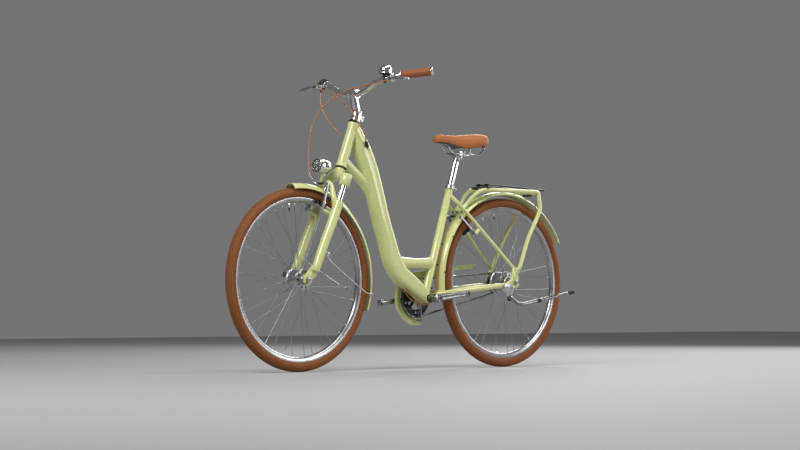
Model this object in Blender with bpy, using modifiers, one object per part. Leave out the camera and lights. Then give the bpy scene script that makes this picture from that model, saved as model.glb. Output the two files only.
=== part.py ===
"""A step-through city bike, modelled as separate pieces in metres with +Z up.

X runs forward and Y to the rider's left. The origin lies on the floor, midway between the axles.
"""

import math

import bmesh
import bpy
from mathutils import Matrix, Vector

# Clearances
GAP = 0.0003
RUNNING_GAP = 0.0005

# Wheels
WHEELBASE = 1.125
BEAD_RADIUS = 0.311
TYRE_HALF_WIDTH = 0.021
TYRE_WALL = 0.0035
RIM_DEPTH = 0.015
RIM_LIP_HEIGHT = 0.006
RIM_HALF_WIDTH = 0.012
RIM_WALL = 0.002
WHEEL_STEPS = 36
HEADSET_STEPS = 14
SPOKE_RADIUS = 0.001
SPOKES_A_SIDE = 18
SPOKE_CROSSINGS = 2
SPOKE_RIM_OFFSET = 0.004
VALVE_RADIUS = 0.003
VALVE_ANGLE = 80
VALVE_LENGTH = 0.045
TYRE_RADIUS = BEAD_RADIUS + 2 * TYRE_HALF_WIDTH

# Hubs and axles
FRONT_FLANGE_RADIUS = 0.0425
FRONT_SHELL_RADIUS = 0.038
FRONT_FLANGE_Y = 0.030
FRONT_HUB_HALF = 0.0455
FRONT_AXLE_RADIUS = 0.0045
REAR_FLANGE_RADIUS = 0.047
REAR_SHELL_RADIUS = 0.043
REAR_FLANGE_Y = 0.030
REAR_HUB_HALF = 0.036
REAR_AXLE_RADIUS = 0.0048
FLANGE_THICKNESS = 0.003
NUT_RADIUS = 0.0088
NUT_HEIGHT = 0.008

# Frame
CHAINSTAY_LENGTH = 0.4606
BRACKET_DROP = 0.068
HEAD_ANGLE = 68.5
SEAT_ANGLE = 72.2
HEAD_LENGTH = 0.188
HEAD_RADIUS = 0.021
HEAD_WALL = 0.0038
FORK_RAKE = 0.039
AXLE_TO_HEAD = 0.4904
SEAT_TUBE_LENGTH = 0.485
SEAT_TUBE_RADIUS = 0.0165
SEATPOST_RADIUS = 0.0135
BRACKET_SHELL_RADIUS = 0.020
BRACKET_SHELL_HALF = 0.034
BRACKET_BODY_RADIUS = 0.0168
GUSSET_RADIUS = 0.020
BRACE_RADIUS = 0.0215
BRACE_HEIGHT = 0.1405
SEATSTAY_RADIUS = 0.008
CHAINSTAY_RADIUS = 0.0105
REAR_DROPOUT_Y = 0.0675
REAR_DROPOUT_THICKNESS = 0.005
CHANNEL_RADIUS = 0.0035

# Fork
STEERER_RADIUS = 0.0143
STANCHION_RADIUS = 0.013
STANCHION_Y = 0.060
STANCHION_U = 0.007
LEG_RADIUS = 0.0195
LEG_TOP = -0.1505
ARCH_RADIUS = 0.009
FRONT_DROPOUT_Y = 0.051
FRONT_DROPOUT_THICKNESS = 0.006
FORK_TRAVEL = 0.04

# Brakes
PAD_CLEARANCE = 0.002
PAD_RADIUS = 0.3095
PAD_LENGTH = 0.05
BRAKE_PIVOT_RADIUS = 0.283
BRAKE_FORWARD_ANGLE = 7.617
BRIDGE_FORWARD_ANGLE = 0.414
BRAKE_PIN_RADIUS = 0.004
BRAKE_ARM_HALF = 0.0052
BRAKE_ARM_LENGTH = 0.108

# Drive
CRANK_LENGTH = 0.170
CRANK_ANGLE = -6.5
CRANK_OUTER_Y = 0.085
CHAINLINE = 0.050
CHAIN_PITCH = 0.0127
RING_TEETH = 38
SPROCKET_TEETH = 20
SPINDLE_RADIUS = 0.0085
TOOTH_HALF = 0.0011
CHAIN_HALF_WIDTH = 0.004
CHAIN_HALF_HEIGHT = 0.004

# Cockpit
BAR_RADIUS = 0.0111
CLAMP_RADIUS = 0.0127
GRIP_RADIUS = 0.016
GRIP_LENGTH = 0.127
TWIST_LENGTH = 0.045
TWIST_RADIUS = 0.0225
BELL_RADIUS = 0.027
BELL_HEIGHT = 0.035
HOUSING_RADIUS = 0.0025
CABLE_SPACING = 0.030

# Saddle
RAIL_RADIUS = 0.0035
RAIL_Y = 0.022

# Mudguards, rack and stand
GUARD_HALF_WIDTH = 0.029
GUARD_THICKNESS = 0.002
REAR_GUARD_CLEARANCE = 0.027
FRONT_GUARD_CLEARANCE = 0.018
REAR_GUARD_RADIUS = TYRE_RADIUS + REAR_GUARD_CLEARANCE
FRONT_GUARD_RADIUS = TYRE_RADIUS + FRONT_GUARD_CLEARANCE
RACK_TUBE_RADIUS = 0.009
RACK_RISE = 0.383
RACK_HALF_WIDTH = 0.060
CLIP_WIRE = 0.003
CLIP_X = 0.1175
CLIP_RISE = 0.022
STAND_RADIUS = 0.008

# Places worked out from the sizes
REAR_AXLE = Vector((-WHEELBASE / 2, 0, TYRE_RADIUS))
FRONT_AXLE = Vector((WHEELBASE / 2, 0, TYRE_RADIUS))
BRACKET = REAR_AXLE + Vector(
    (math.sqrt(CHAINSTAY_LENGTH**2 - BRACKET_DROP**2), 0, -BRACKET_DROP)
)
HEAD_UP = Vector((-math.cos(math.radians(HEAD_ANGLE)), 0, math.sin(math.radians(HEAD_ANGLE))))
HEAD_FORWARD = Vector((HEAD_UP.z, 0, -HEAD_UP.x))
HEAD_FOOT = FRONT_AXLE - HEAD_FORWARD * FORK_RAKE + HEAD_UP * AXLE_TO_HEAD
SEAT_UP = Vector((-math.cos(math.radians(SEAT_ANGLE)), 0, math.sin(math.radians(SEAT_ANGLE))))
SEAT_FORWARD = Vector((SEAT_UP.z, 0, -SEAT_UP.x))
SIDE = Vector((0, 1, 0))
UP = Vector((0, 0, 1))
SPROCKET_BOSS = 0.004
RACK_TAB_THICKNESS = 0.004
BRAKE_PIVOT_Y = 0.043
HEAD_CENTRE_U = 0.066
BRIDGE_RADIUS = 0.006

# The main tube's stations: (forward, up, half depth, half width), the upper ones in the steering
# frame and the lower ones from the bottom bracket
MAIN_TUBE_UPPER = [
    (-0.004, 0.176, 0.016, 0.019),
    (-0.0225, 0.160, 0.026, 0.023),
    (-0.0827, 0.1024, 0.038, 0.029),
    (-0.1321, 0.0574, 0.039, 0.029),
    (-0.1921, -0.0103, 0.038, 0.029),
]
MAIN_TUBE_LOWER = [
    (0.2450, 0.323, 0.038, 0.029),
    (0.2075, 0.225, 0.038, 0.029),
    (0.1837, 0.160, 0.038, 0.029),
    (0.1470, 0.103, 0.036, 0.029),
    (0.0960, 0.069, 0.034, 0.029),
    (0.0550, 0.043, 0.031, 0.030),
    (0.0190, 0.017, 0.027, 0.031),
    (0.0000, 0.002, 0.020, 0.031),
]

# Fork and lamp details
CROWN_RADIUS = 0.0215
STANCHION_END = -0.205
LAMP_RADIUS = 0.029
LAMP_LENGTH = 0.070
LAMP_REAR = HEAD_FOOT + Vector((0.0555, 0, 0))

# Stem and handlebar, from the steering axis
STEM_FORWARD = 0.0429
STEM_RISE = 0.2958
STEM_BASE = 0.2003
STEM_BASE_HEIGHT = 0.043
SHIFT_CABLE_ROOT = HEAD_FOOT + Vector((-0.0791, -0.2096, 0.3169))
SHIFT_STUB_DIRECTION = Vector((0.614, 0.191, -0.764)).normalized()

# Chain guard and kickstand
GUARD_PLATE_Y = -0.0630
GUARD_PLATE_THICKNESS = 0.0015
GUARD_LIP_Y = -0.0455
HOOP_OUTER = 0.108
HOOP_INNER = 0.075
STAND_EYE_HALF = 0.0062
STAND_EYE_RADIUS = 0.0105
STAND_HINGE = REAR_AXLE + Vector((0.0395, 0.0905, -0.064))
STAND_AXIS = Vector((0, 0.918, 0.396)).normalized()
FLAT_ANGLE = 0.002


def clear_scene():
    for old in list(bpy.data.objects):
        bpy.data.objects.remove(old)
    for name in ("hybrid_bike", "cutters"):
        group = bpy.data.collections.new(name)
        bpy.context.scene.collection.children.link(group)
    bpy.data.collections["cutters"].hide_render = True


def head(u, y, s):
    """A point in the steering frame: forward of its axis, to the left, and up along it."""
    return HEAD_FOOT + HEAD_FORWARD * u + SIDE * y + HEAD_UP * s


def seat(t, y, s):
    """A point in the seat tube's frame: forward of its axis, to the left, and up along it."""
    return BRACKET + SEAT_FORWARD * t + SIDE * y + SEAT_UP * s


def polar(centre, radius, degrees, y=0.0):
    angle = math.radians(degrees)
    return centre + Vector((radius * math.cos(angle), y, radius * math.sin(angle)))


def mirrored(point):
    return Vector((point[0], -point[1], point[2]))


def sided(point, side):
    return Vector((point[0], side * point[1], point[2]))


def material(name, colour, roughness, metallic):
    made = bpy.data.materials.new(name)
    made.use_nodes = True
    shader = made.node_tree.nodes["Principled BSDF"]
    shader.inputs["Base Color"].default_value = (*colour, 1)
    shader.inputs["Roughness"].default_value = roughness
    shader.inputs["Metallic"].default_value = metallic
    return made


def link(name, mesh):
    """A new object among the cutters and guides, until it is finished as a piece."""
    obj = bpy.data.objects.new(name, mesh)
    bpy.data.collections["cutters"].objects.link(obj)
    obj.display_type = "WIRE"
    obj.hide_render = True
    return obj


def evaluated_mesh(obj):
    bpy.context.view_layer.update()
    graph = bpy.context.evaluated_depsgraph_get()
    return bpy.data.meshes.new_from_object(obj.evaluated_get(graph))


def cleaned(mesh, merge=1e-6):
    work = bmesh.new()
    work.from_mesh(mesh)
    bmesh.ops.remove_doubles(work, verts=work.verts, dist=merge)
    bmesh.ops.dissolve_degenerate(work, edges=work.edges, dist=merge)
    bmesh.ops.recalc_face_normals(work, faces=work.faces)
    work.to_mesh(mesh)
    work.free()
    return mesh


def flattened(mesh):
    """The mesh with its flat stretches as single faces, and no spare points along straight edges."""
    work = bmesh.new()
    work.from_mesh(mesh)
    bmesh.ops.dissolve_limit(work, angle_limit=FLAT_ANGLE, verts=work.verts, edges=work.edges)
    bmesh.ops.triangulate(work, faces=work.faces)
    work.to_mesh(mesh)
    work.free()
    return mesh


def baked(obj):
    """The object's evaluated shape as a plain mesh object in world coordinates."""
    mesh = evaluated_mesh(obj)
    mesh.transform(obj.matrix_world)
    name = obj.name
    bpy.data.objects.remove(obj)
    return link(name, cleaned(mesh))


def tube(name, points, radius, radii=None, resolution=2):
    """A round tube through the points, each with its own radius where radii is given."""
    curve = bpy.data.curves.new(name, "CURVE")
    curve.dimensions = "3D"
    curve.bevel_depth = radius
    curve.bevel_resolution = resolution
    curve.use_fill_caps = True
    spline = curve.splines.new("POLY")
    spline.points.add(len(points) - 1)
    for index, (point, place) in enumerate(zip(spline.points, points)):
        point.co = (*place, 1)
        point.radius = 1 if radii is None else radii[index] / radius
    return baked(link(name, curve))


def smooth_path(points, spacing):
    """Points about the given spacing apart on a smooth curve through the given points."""
    places = [Vector(point) for point in points]
    ends = [places[0] * 2 - places[1], *places, places[-1] * 2 - places[-2]]
    path = []
    for a, b, c, d in zip(ends, ends[1:], ends[2:], ends[3:]):
        count = max(1, round((c - b).length / spacing))
        for step in range(count):
            t = step / count
            path.append(
                0.5 * (2 * b + (c - a) * t + (2 * a - 5 * b + 4 * c - d) * t**2
                       + (3 * b - 3 * c + d - a) * t**3)
            )
    return [*path, places[-1]]


def bore_for(radius, steps, gap=GAP):
    """The corner radius of a faceted bore whose flats clear a round of the given radius."""
    return (radius + gap) / math.cos(math.pi / steps)


def turned(name, profile, centre, axis, steps=16, closed=False, start=None):
    """A profile of (radius, height) pairs turned round an axis through the centre."""
    area = sum(a[0] * b[1] - b[0] * a[1] for a, b in zip(profile, [*profile[1:], profile[0]]))
    ordered = list(profile) if area < 0 else list(reversed(profile))
    mesh = bpy.data.meshes.new(name)
    count = len(ordered)
    edges = [(i, (i + 1) % count) for i in range(count if closed else count - 1)]
    mesh.from_pydata([(r, 0, h) for r, h in ordered], edges, [])
    obj = link(name, mesh)
    screw = obj.modifiers.new("Turn", "SCREW")
    screw.axis = "Z"
    screw.steps = steps
    screw.render_steps = steps
    screw.use_merge_vertices = True
    screw.merge_threshold = 1e-6
    up = Vector(axis).normalized()
    across = Vector(start) if start else (SEAT_FORWARD if abs(up.y) < 0.5 else Vector((1, 0, 0)))
    across = (across - up * across.dot(up)).normalized()
    turn = Matrix((across, up.cross(across), up)).transposed()
    obj.matrix_world = Matrix.Translation(centre) @ turn.to_4x4()
    return baked(obj)


def rod(name, start, end, radius, end_radius=None, steps=10):
    """A round bar between two points, tapered where end_radius is given."""
    start, end = Vector(start), Vector(end)
    last = radius if end_radius is None else end_radius
    length = (end - start).length
    profile = [(0, 0), (radius, 0), (last, length), (0, length)]
    return turned(name, profile, start, end - start, steps)


def sleeve(name, start, end, outer, bore, steps=12):
    start, end = Vector(start), Vector(end)
    length = (end - start).length
    profile = [(bore, 0), (outer, 0), (outer, length), (bore, length)]
    return turned(name, profile, start, end - start, steps, closed=True)


def box(name, centre, size, forward=(1, 0, 0), up=(0, 0, 1)):
    """A block with its first side along forward, its last near up, and its middle square to both."""
    first = Vector(forward).normalized()
    middle = Vector(up).cross(first).normalized()
    last = first.cross(middle)
    work = bmesh.new()
    turn = Matrix((first, middle, last)).transposed().to_4x4()
    scale = Matrix.Diagonal((*size, 1))
    bmesh.ops.create_cube(work, size=1, matrix=Matrix.Translation(centre) @ turn @ scale)
    mesh = bpy.data.meshes.new(name)
    work.to_mesh(mesh)
    work.free()
    return link(name, mesh)


def plate(name, outline, origin, along, up, thickness):
    """A flat plate from an outline of (along, up) pairs, centred on the plane through the origin."""
    curve = bpy.data.curves.new(name, "CURVE")
    curve.dimensions = "2D"
    curve.fill_mode = "BOTH"
    curve.extrude = thickness / 2
    spline = curve.splines.new("POLY")
    spline.points.add(len(outline) - 1)
    spline.use_cyclic_u = True
    for point, (x, y) in zip(spline.points, outline):
        point.co = (x, y, 0, 1)
    obj = link(name, curve)
    first = Vector(along).normalized()
    third = first.cross(Vector(up)).normalized()
    turn = Matrix((first, third.cross(first), third)).transposed().to_4x4()
    obj.matrix_world = Matrix.Translation(origin) @ turn
    return baked(obj)


def loft(name, sections):
    """A closed skin over rings of points, each ring with the same count."""
    work = bmesh.new()
    rings = [[work.verts.new(point) for point in section] for section in sections]
    for near, far in zip(rings, rings[1:]):
        for i, point in enumerate(near):
            j = (i + 1) % len(near)
            work.faces.new((point, near[j], far[j], far[i]))
    work.faces.new(rings[0])
    work.faces.new(rings[-1])
    bmesh.ops.recalc_face_normals(work, faces=work.faces)
    mesh = bpy.data.meshes.new(name)
    work.to_mesh(mesh)
    work.free()
    return link(name, mesh)


def oval(centre, forward, half_depth, half_width, sides=12, power=2.6, side=SIDE):
    """A rounded ring of points: half_depth along forward and half_width along side."""
    ring = []
    for index in range(sides):
        angle = 2 * math.pi * (index + 0.5) / sides
        c, s = math.cos(angle), math.sin(angle)
        depth = math.copysign(abs(c) ** (2 / power), c) * half_depth
        width = math.copysign(abs(s) ** (2 / power), s) * half_width
        ring.append(Vector(centre) + forward * depth + side * width)
    return ring


def arc(centre, radius, start, end, count):
    """Points on an arc of an outline, in degrees."""
    step = (end - start) / (count - 1)
    angles = [math.radians(start + step * i) for i in range(count)]
    return [(centre[0] + radius * math.cos(a), centre[1] + radius * math.sin(a)) for a in angles]


def boolean(obj, others, operation):
    """Joins the others to the object, or cuts them from it, and removes them."""
    group = bpy.data.collections.new("operands")
    bpy.context.scene.collection.children.link(group)
    for other in others:
        group.objects.link(other)
    change = obj.modifiers.new(operation.title(), "BOOLEAN")
    change.operation = operation
    change.solver = "EXACT"
    change.operand_type = "COLLECTION"
    change.collection = group
    mesh = cleaned(evaluated_mesh(obj))
    obj.modifiers.clear()
    obj.data = flattened(mesh)
    for other in others:
        bpy.data.objects.remove(other)
    bpy.data.collections.remove(group)


def piece(name, finish, shapes, cuts=(), pivot=None, crease=35):
    """One finished, named piece: the shapes joined, less the cuts, with its origin on its pivot."""
    obj = shapes[0]
    if len(shapes) > 1:
        boolean(obj, list(shapes[1:]), "UNION")
    if cuts:
        boolean(obj, list(cuts), "DIFFERENCE")
    obj.name = name
    obj.data.name = name
    obj.data.materials.clear()
    obj.data.materials.append(material(name, *finish))
    obj.data.shade_smooth()
    obj.data.set_sharp_from_angle(angle=math.radians(crease))
    if pivot is not None:
        obj.data.transform(Matrix.Translation(-Vector(pivot)))
        obj.location = pivot
    obj.hide_render = False
    obj.display_type = "TEXTURED"
    bpy.data.collections["cutters"].objects.unlink(obj)
    bpy.data.collections["hybrid_bike"].objects.link(obj)
    return obj


# Finishes: colour, roughness, metallic
PAINT = ((0.60, 0.62, 0.28), 0.30, 0.0)
TYRE_RUBBER = ((0.20, 0.12, 0.07), 0.85, 0.0)
BROWN_RUBBER = ((0.36, 0.10, 0.03), 0.60, 0.0)
SADDLE_BROWN = ((0.60, 0.20, 0.07), 0.50, 0.0)
BLACK_PLASTIC = ((0.02, 0.02, 0.02), 0.45, 0.0)
BLACK_METAL = ((0.03, 0.03, 0.03), 0.40, 0.6)
POLISHED = ((0.80, 0.80, 0.80), 0.15, 1.0)
SATIN = ((0.60, 0.60, 0.60), 0.35, 1.0)
STEEL = ((0.45, 0.45, 0.45), 0.35, 1.0)
CLEAR = ((0.85, 0.87, 0.90), 0.08, 0.0)
HOUSING_BROWN = ((0.38, 0.16, 0.06), 0.50, 0.0)


def both_sides(half):
    """A closed outline: the points of one side, then the same points of the other side."""
    return [*half, *[(radius, -height) for radius, height in reversed(half)]]


def tyre_profile():
    centre = BEAD_RADIUS + TYRE_HALF_WIDTH
    lip = BEAD_RADIUS + RIM_LIP_HEIGHT
    inside = RIM_HALF_WIDTH - RIM_WALL
    outer = arc((centre, 0), TYRE_HALF_WIDTH, 0, 125, 4)
    inner = arc((centre, 0), TYRE_HALF_WIDTH - TYRE_WALL, 57.5, 0, 2)[:-1]
    rim_side = [(lip + 2 * GAP, inside + 0.0012), (BEAD_RADIUS - 0.001 + GAP, inside - 2 * GAP),
                (BEAD_RADIUS - 0.0004, inside - 0.0034), (BEAD_RADIUS + 0.0105, inside + 0.0005)]
    return outer, inner, rim_side


def make_tyre(name, axle):
    outer, inner, rim_side = tyre_profile()
    half = [*outer[1:], *rim_side, *inner]
    flat = [(r, -h) for r, h in reversed(half)]
    crown = BEAD_RADIUS + 2 * TYRE_HALF_WIDTH
    inside_crown = crown - TYRE_WALL
    profile = [(crown, 0), *half, (inside_crown, 0), *flat]
    piece(name, TYRE_RUBBER, [turned(name, profile, axle, SIDE, WHEEL_STEPS, True)], pivot=axle)


def make_inner_tube(name, axle):
    centre = BEAD_RADIUS + TYRE_HALF_WIDTH
    radius = TYRE_HALF_WIDTH - TYRE_WALL - 2 * GAP
    upper = arc((centre, 0), radius, 0, 57.5, 2)[1:]
    low = [(BEAD_RADIUS + 0.0015, 0.003)]
    half = [*upper, *low]
    profile = [(centre + radius, 0), *half, *[(r, -h) for r, h in reversed(half)]]
    air = turned(name, profile, axle, SIDE, WHEEL_STEPS, True)
    top = polar(axle, centre, VALVE_ANGLE)
    foot = polar(axle, BEAD_RADIUS - VALVE_LENGTH, VALVE_ANGLE)
    cap = polar(axle, BEAD_RADIUS - VALVE_LENGTH + 0.016, VALVE_ANGLE)
    stem = rod("stem", top, foot, VALVE_RADIUS, steps=6)
    dust_cap = rod("dust_cap", cap, polar(axle, BEAD_RADIUS - VALVE_LENGTH - 0.002, VALVE_ANGLE),
                   VALVE_RADIUS + 0.0008, steps=6)
    piece(name, BLACK_PLASTIC, [air, stem, dust_cap], pivot=axle)


def make_rim(name, axle):
    lip = BEAD_RADIUS + RIM_LIP_HEIGHT
    inside = RIM_HALF_WIDTH - RIM_WALL
    half = [
        (lip, RIM_HALF_WIDTH),
        (BEAD_RADIUS - 0.009, RIM_HALF_WIDTH),
        (BEAD_RADIUS - RIM_DEPTH, RIM_HALF_WIDTH - 0.0065),
    ]
    well = [(BEAD_RADIUS - 0.001, -inside), (BEAD_RADIUS - 0.001, inside)]
    profile = [*both_sides(half), *well]
    rim = turned(name, profile, axle, SIDE, WHEEL_STEPS, True)
    hole = rod("hole", polar(axle, BEAD_RADIUS + 0.01, VALVE_ANGLE),
               polar(axle, BEAD_RADIUS - 0.03, VALVE_ANGLE), VALVE_RADIUS + 2 * GAP, steps=6)
    piece(name, POLISHED, [rim], [hole], pivot=axle)


def spoke(axle, side, flange_radius, flange_y, index, lean):
    """One spoke from its flange hole to the rim; lean is -1 or 1, against or with the turn."""
    spacing = 360 / SPOKES_A_SIDE
    offset = 2.5 * spacing / 10 if side > 0 else 2.5 * spacing / 10 + spacing / 2
    pair = 2 * index if lean > 0 else 2 * index + 1
    rim_angle = offset + pair * spacing
    hub_angle = rim_angle - lean * SPOKE_CROSSINGS * spacing
    start = polar(axle, flange_radius, hub_angle, side * flange_y)
    rim_face = (BEAD_RADIUS - RIM_DEPTH) * math.cos(math.pi / WHEEL_STEPS)
    end = polar(axle, rim_face - GAP - 0.25 * SPOKE_RADIUS, rim_angle, side * SPOKE_RIM_OFFSET)
    across = (end - start).cross(SIDE)
    return turned("spoke", [(0, 0), (SPOKE_RADIUS, 0), (SPOKE_RADIUS, (end - start).length),
                            (0, (end - start).length)], start, end - start, 3, start=across)


def make_spokes(name, axle, side, flange_radius, flange_y):
    """A side's spokes, each leading one crossing the trailing ones that lie in the same cone."""
    pairs = range(SPOKES_A_SIDE // 2)
    leading = [spoke(axle, side, flange_radius, flange_y, index, 1) for index in pairs]
    trailing = [spoke(axle, side, flange_radius, flange_y, index, -1) for index in pairs]
    piece(name, STEEL, [*leading, *trailing], pivot=axle)


def make_front_hub(axle):
    outer_y = FRONT_FLANGE_Y
    half = [
        (FRONT_AXLE_RADIUS + GAP, FRONT_HUB_HALF),
        (0.017, FRONT_HUB_HALF),
        (0.019, outer_y + 0.003),
        (FRONT_SHELL_RADIUS - 0.002, outer_y + 0.0012),
        (FRONT_FLANGE_RADIUS, outer_y),
        (FRONT_FLANGE_RADIUS, outer_y - FLANGE_THICKNESS),
        (FRONT_SHELL_RADIUS, outer_y - 0.005),
    ]
    profile = both_sides(half)
    piece("front_hub", SATIN, [turned("front_hub", profile, axle, SIDE, 16, True)], pivot=axle)


def make_rear_hub(axle):
    outer_y = REAR_FLANGE_Y
    half = [
        (REAR_AXLE_RADIUS + GAP, REAR_HUB_HALF),
        (0.020, REAR_HUB_HALF),
        (REAR_SHELL_RADIUS - 0.004, outer_y + 0.0012),
        (REAR_FLANGE_RADIUS, outer_y),
        (REAR_FLANGE_RADIUS, outer_y - FLANGE_THICKNESS),
        (REAR_SHELL_RADIUS, outer_y - 0.006),
    ]
    profile = both_sides(half)
    piece("rear_hub", SATIN, [turned("rear_hub", profile, axle, SIDE, 16, True)], pivot=axle)


def nut_and_thread(name, axle, side, radius, inner_y, end_y):
    nut = rod(name, axle + SIDE * side * inner_y, axle + SIDE * side * (inner_y + NUT_HEIGHT),
              NUT_RADIUS, steps=6)
    washer = rod(name, axle + SIDE * side * inner_y, axle + SIDE * side * (inner_y + 0.0015),
                 NUT_RADIUS + 0.0015, steps=10)
    tip = rod(name, axle + SIDE * side * (inner_y - 0.002), axle + SIDE * side * end_y, radius)
    return [nut, washer, tip]


def cone_nut(axle, side, start_y, end_y, radius):
    return rod("cone", axle + SIDE * side * start_y, axle + SIDE * side * end_y, radius)


def make_axle(name, axle, radius, hub_half, dropout_y, thickness):
    outer_y = dropout_y + thickness + GAP
    shapes = [rod(name, axle - SIDE * (outer_y + 0.001), axle + SIDE * (outer_y + 0.001), radius)]
    for side in (-1, 1):
        shapes += nut_and_thread(name, axle, side, radius, outer_y, outer_y + NUT_HEIGHT + 0.004)
    return shapes


def make_axles():
    front = make_axle("front_axle", FRONT_AXLE, FRONT_AXLE_RADIUS, FRONT_HUB_HALF,
                      FRONT_DROPOUT_Y, FRONT_DROPOUT_THICKNESS)
    front += [cone_nut(FRONT_AXLE, side, FRONT_HUB_HALF + GAP, FRONT_DROPOUT_Y - GAP, 0.009)
              for side in (-1, 1)]
    piece("front_axle", STEEL, front, pivot=FRONT_AXLE)
    rear = make_axle("rear_axle", REAR_AXLE, REAR_AXLE_RADIUS, REAR_HUB_HALF,
                     REAR_DROPOUT_Y, REAR_DROPOUT_THICKNESS + RACK_TAB_THICKNESS + GAP)
    rear += [cone_nut(REAR_AXLE, 1, REAR_HUB_HALF + GAP, REAR_DROPOUT_Y - GAP, 0.010),
             cone_nut(REAR_AXLE, -1, CHAINLINE + SPROCKET_BOSS + GAP, REAR_DROPOUT_Y - GAP, 0.010)]
    piece("rear_axle", STEEL, rear, pivot=REAR_AXLE)


def make_wheels():
    for end, axle in (("front", FRONT_AXLE), ("rear", REAR_AXLE)):
        make_tyre(end + "_tyre", axle)
        make_inner_tube(end + "_inner_tube", axle)
        make_rim(end + "_rim", axle)
    flanges = {
        "front": (FRONT_AXLE, FRONT_FLANGE_RADIUS - 0.004, FRONT_FLANGE_Y),
        "rear": (REAR_AXLE, REAR_FLANGE_RADIUS - 0.004, REAR_FLANGE_Y),
    }
    for end, (axle, radius, flange_y) in flanges.items():
        for word, side in (("left", 1), ("right", -1)):
            make_spokes(f"{end}_spokes_{word}", axle, side, radius,
                        flange_y + GAP + 2 * SPOKE_RADIUS)
    make_front_hub(FRONT_AXLE)
    make_rear_hub(REAR_AXLE)
    make_axles()


def main_tube():
    """The large curved tube that drops from the head and sweeps back to the bottom bracket."""
    upper = [(head(u, 0, s), depth, width) for u, s, depth, width in MAIN_TUBE_UPPER]
    lower = [(BRACKET + Vector((x, 0, z)), depth, width) for x, z, depth, width in MAIN_TUBE_LOWER]
    stations = [*upper, *lower]
    sections = []
    for index, (centre, depth, width) in enumerate(stations):
        before = stations[max(index - 1, 0)][0]
        after = stations[min(index + 1, len(stations) - 1)][0]
        along = (after - before).normalized()
        sections.append(oval(centre, along.cross(SIDE), depth, width, power=2.8))
    return loft("main_tube", sections)


def rear_frame_point(x, y, z):
    """A point given from the bottom bracket, on the rear triangle."""
    return BRACKET + Vector((x, y, z))


def chainstay(side):
    points = [(-0.010, 0.0205, 0.005), (-0.073, 0.0355, 0.018), (-0.193, 0.052, 0.035)]
    end = REAR_AXLE + Vector((0.040, REAR_DROPOUT_Y - 0.0015, -0.011))
    places = [sided(rear_frame_point(*point), side) for point in points] + [sided(end, side)]
    heights = [0.011, 0.012, 0.012, 0.010]
    sections = []
    for index, (place, height) in enumerate(zip(places, heights)):
        before = places[max(index - 1, 0)]
        after = places[min(index + 1, len(places) - 1)]
        along = (after - before).normalized()
        across = along.cross(UP).normalized()
        sections.append(oval(place, across.cross(along), height, CHAINSTAY_RADIUS - 0.0015,
                             8, 2.2, across))
    return loft("chainstay", sections)


def seatstay_points(side):
    top = seat(-0.003, 0.012, SEAT_TUBE_LENGTH - 0.044)
    high, low = seatstay_ends()
    middle = low.lerp(high, 0.512)
    middle.y = 0.050
    points = [top, seat(-0.028, 0.028, SEAT_TUBE_LENGTH - 0.0595), high, middle, low]
    return [sided(point, side) for point in points]


def seatstay_ends():
    """The ends of the left seatstay's straight run, at its bend and at its dropout."""
    high = seat(-0.054, 0.036, SEAT_TUBE_LENGTH - 0.0716)
    low = REAR_AXLE + Vector((0.0005, REAR_DROPOUT_Y - 0.001, 0.059))
    return high, low


def seatstay_angle(reach):
    """The angle, in degrees, at which the seatstays pass this far from the rear axle."""
    high, low = [point - REAR_AXLE for point in seatstay_ends()]
    high.y = low.y = 0
    run = high - low
    a, b, c = run.length_squared, 2 * low.dot(run), low.length_squared - reach**2
    place = low + run * ((math.sqrt(b**2 - 4 * a * c) - b) / (2 * a))
    return math.degrees(math.atan2(place.z, place.x))


def rear_dropout(side):
    outline = [(0.050, -0.020), (0.050, -0.002), (0.020, 0.012), (0.010, 0.064), (-0.010, 0.064),
               (-0.024, 0.022), (-0.026, -0.014), (-0.012, -0.022), (0.016, -0.022)]
    middle = side * (REAR_DROPOUT_Y + REAR_DROPOUT_THICKNESS / 2)
    return plate("dropout", outline, REAR_AXLE + SIDE * middle, (1, 0, 0), UP,
                 REAR_DROPOUT_THICKNESS)


def dropout_slot(side):
    middle = side * (REAR_DROPOUT_Y + REAR_DROPOUT_THICKNESS / 2)
    width = 2 * (REAR_AXLE_RADIUS + RUNNING_GAP)
    size = (0.04, 4 * REAR_DROPOUT_THICKNESS, width)
    slot = box("slot", REAR_AXLE + Vector((-0.02, middle, 0)), size)
    end = rod("slot_end", REAR_AXLE + SIDE * (middle - 0.01), REAR_AXLE + SIDE * (middle + 0.01),
              width / 2, steps=8)
    return [slot, end]


def rear_brake_frame():
    """The rear brake's pivot, the way its arms rise, and the way its pins point."""
    angle = seatstay_angle(math.hypot(BRAKE_PIVOT_RADIUS, 0.036)) - BRAKE_FORWARD_ANGLE
    outward = polar(Vector((0, 0, 0)), 1, angle)
    pin = Vector((outward.z, 0, -outward.x))
    return REAR_AXLE + outward * BRAKE_PIVOT_RADIUS, outward, pin


def front_brake_frame():
    rise = math.sqrt(BRAKE_PIVOT_RADIUS**2 - (HEAD_CENTRE_U - FORK_RAKE) ** 2)
    return head(HEAD_CENTRE_U, 0, rise - AXLE_TO_HEAD), HEAD_UP, HEAD_FORWARD


def brake_boss(pivot, pin, side, depth):
    """A brake arm's boss, its pin and the bolt head that keeps the arm on."""
    centre = pivot + SIDE * side * BRAKE_PIVOT_Y
    face = BRAKE_ARM_HALF + GAP
    return [
        rod("boss", centre - pin * depth, centre - pin * face, 0.0085, steps=12),
        rod("pin", centre - pin * (face + 0.002), centre + pin * (face + 0.001),
            BRAKE_PIN_RADIUS, steps=8),
        rod("bolt", centre + pin * face, centre + pin * (face + 0.004), 0.0065, steps=6),
    ]



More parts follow.
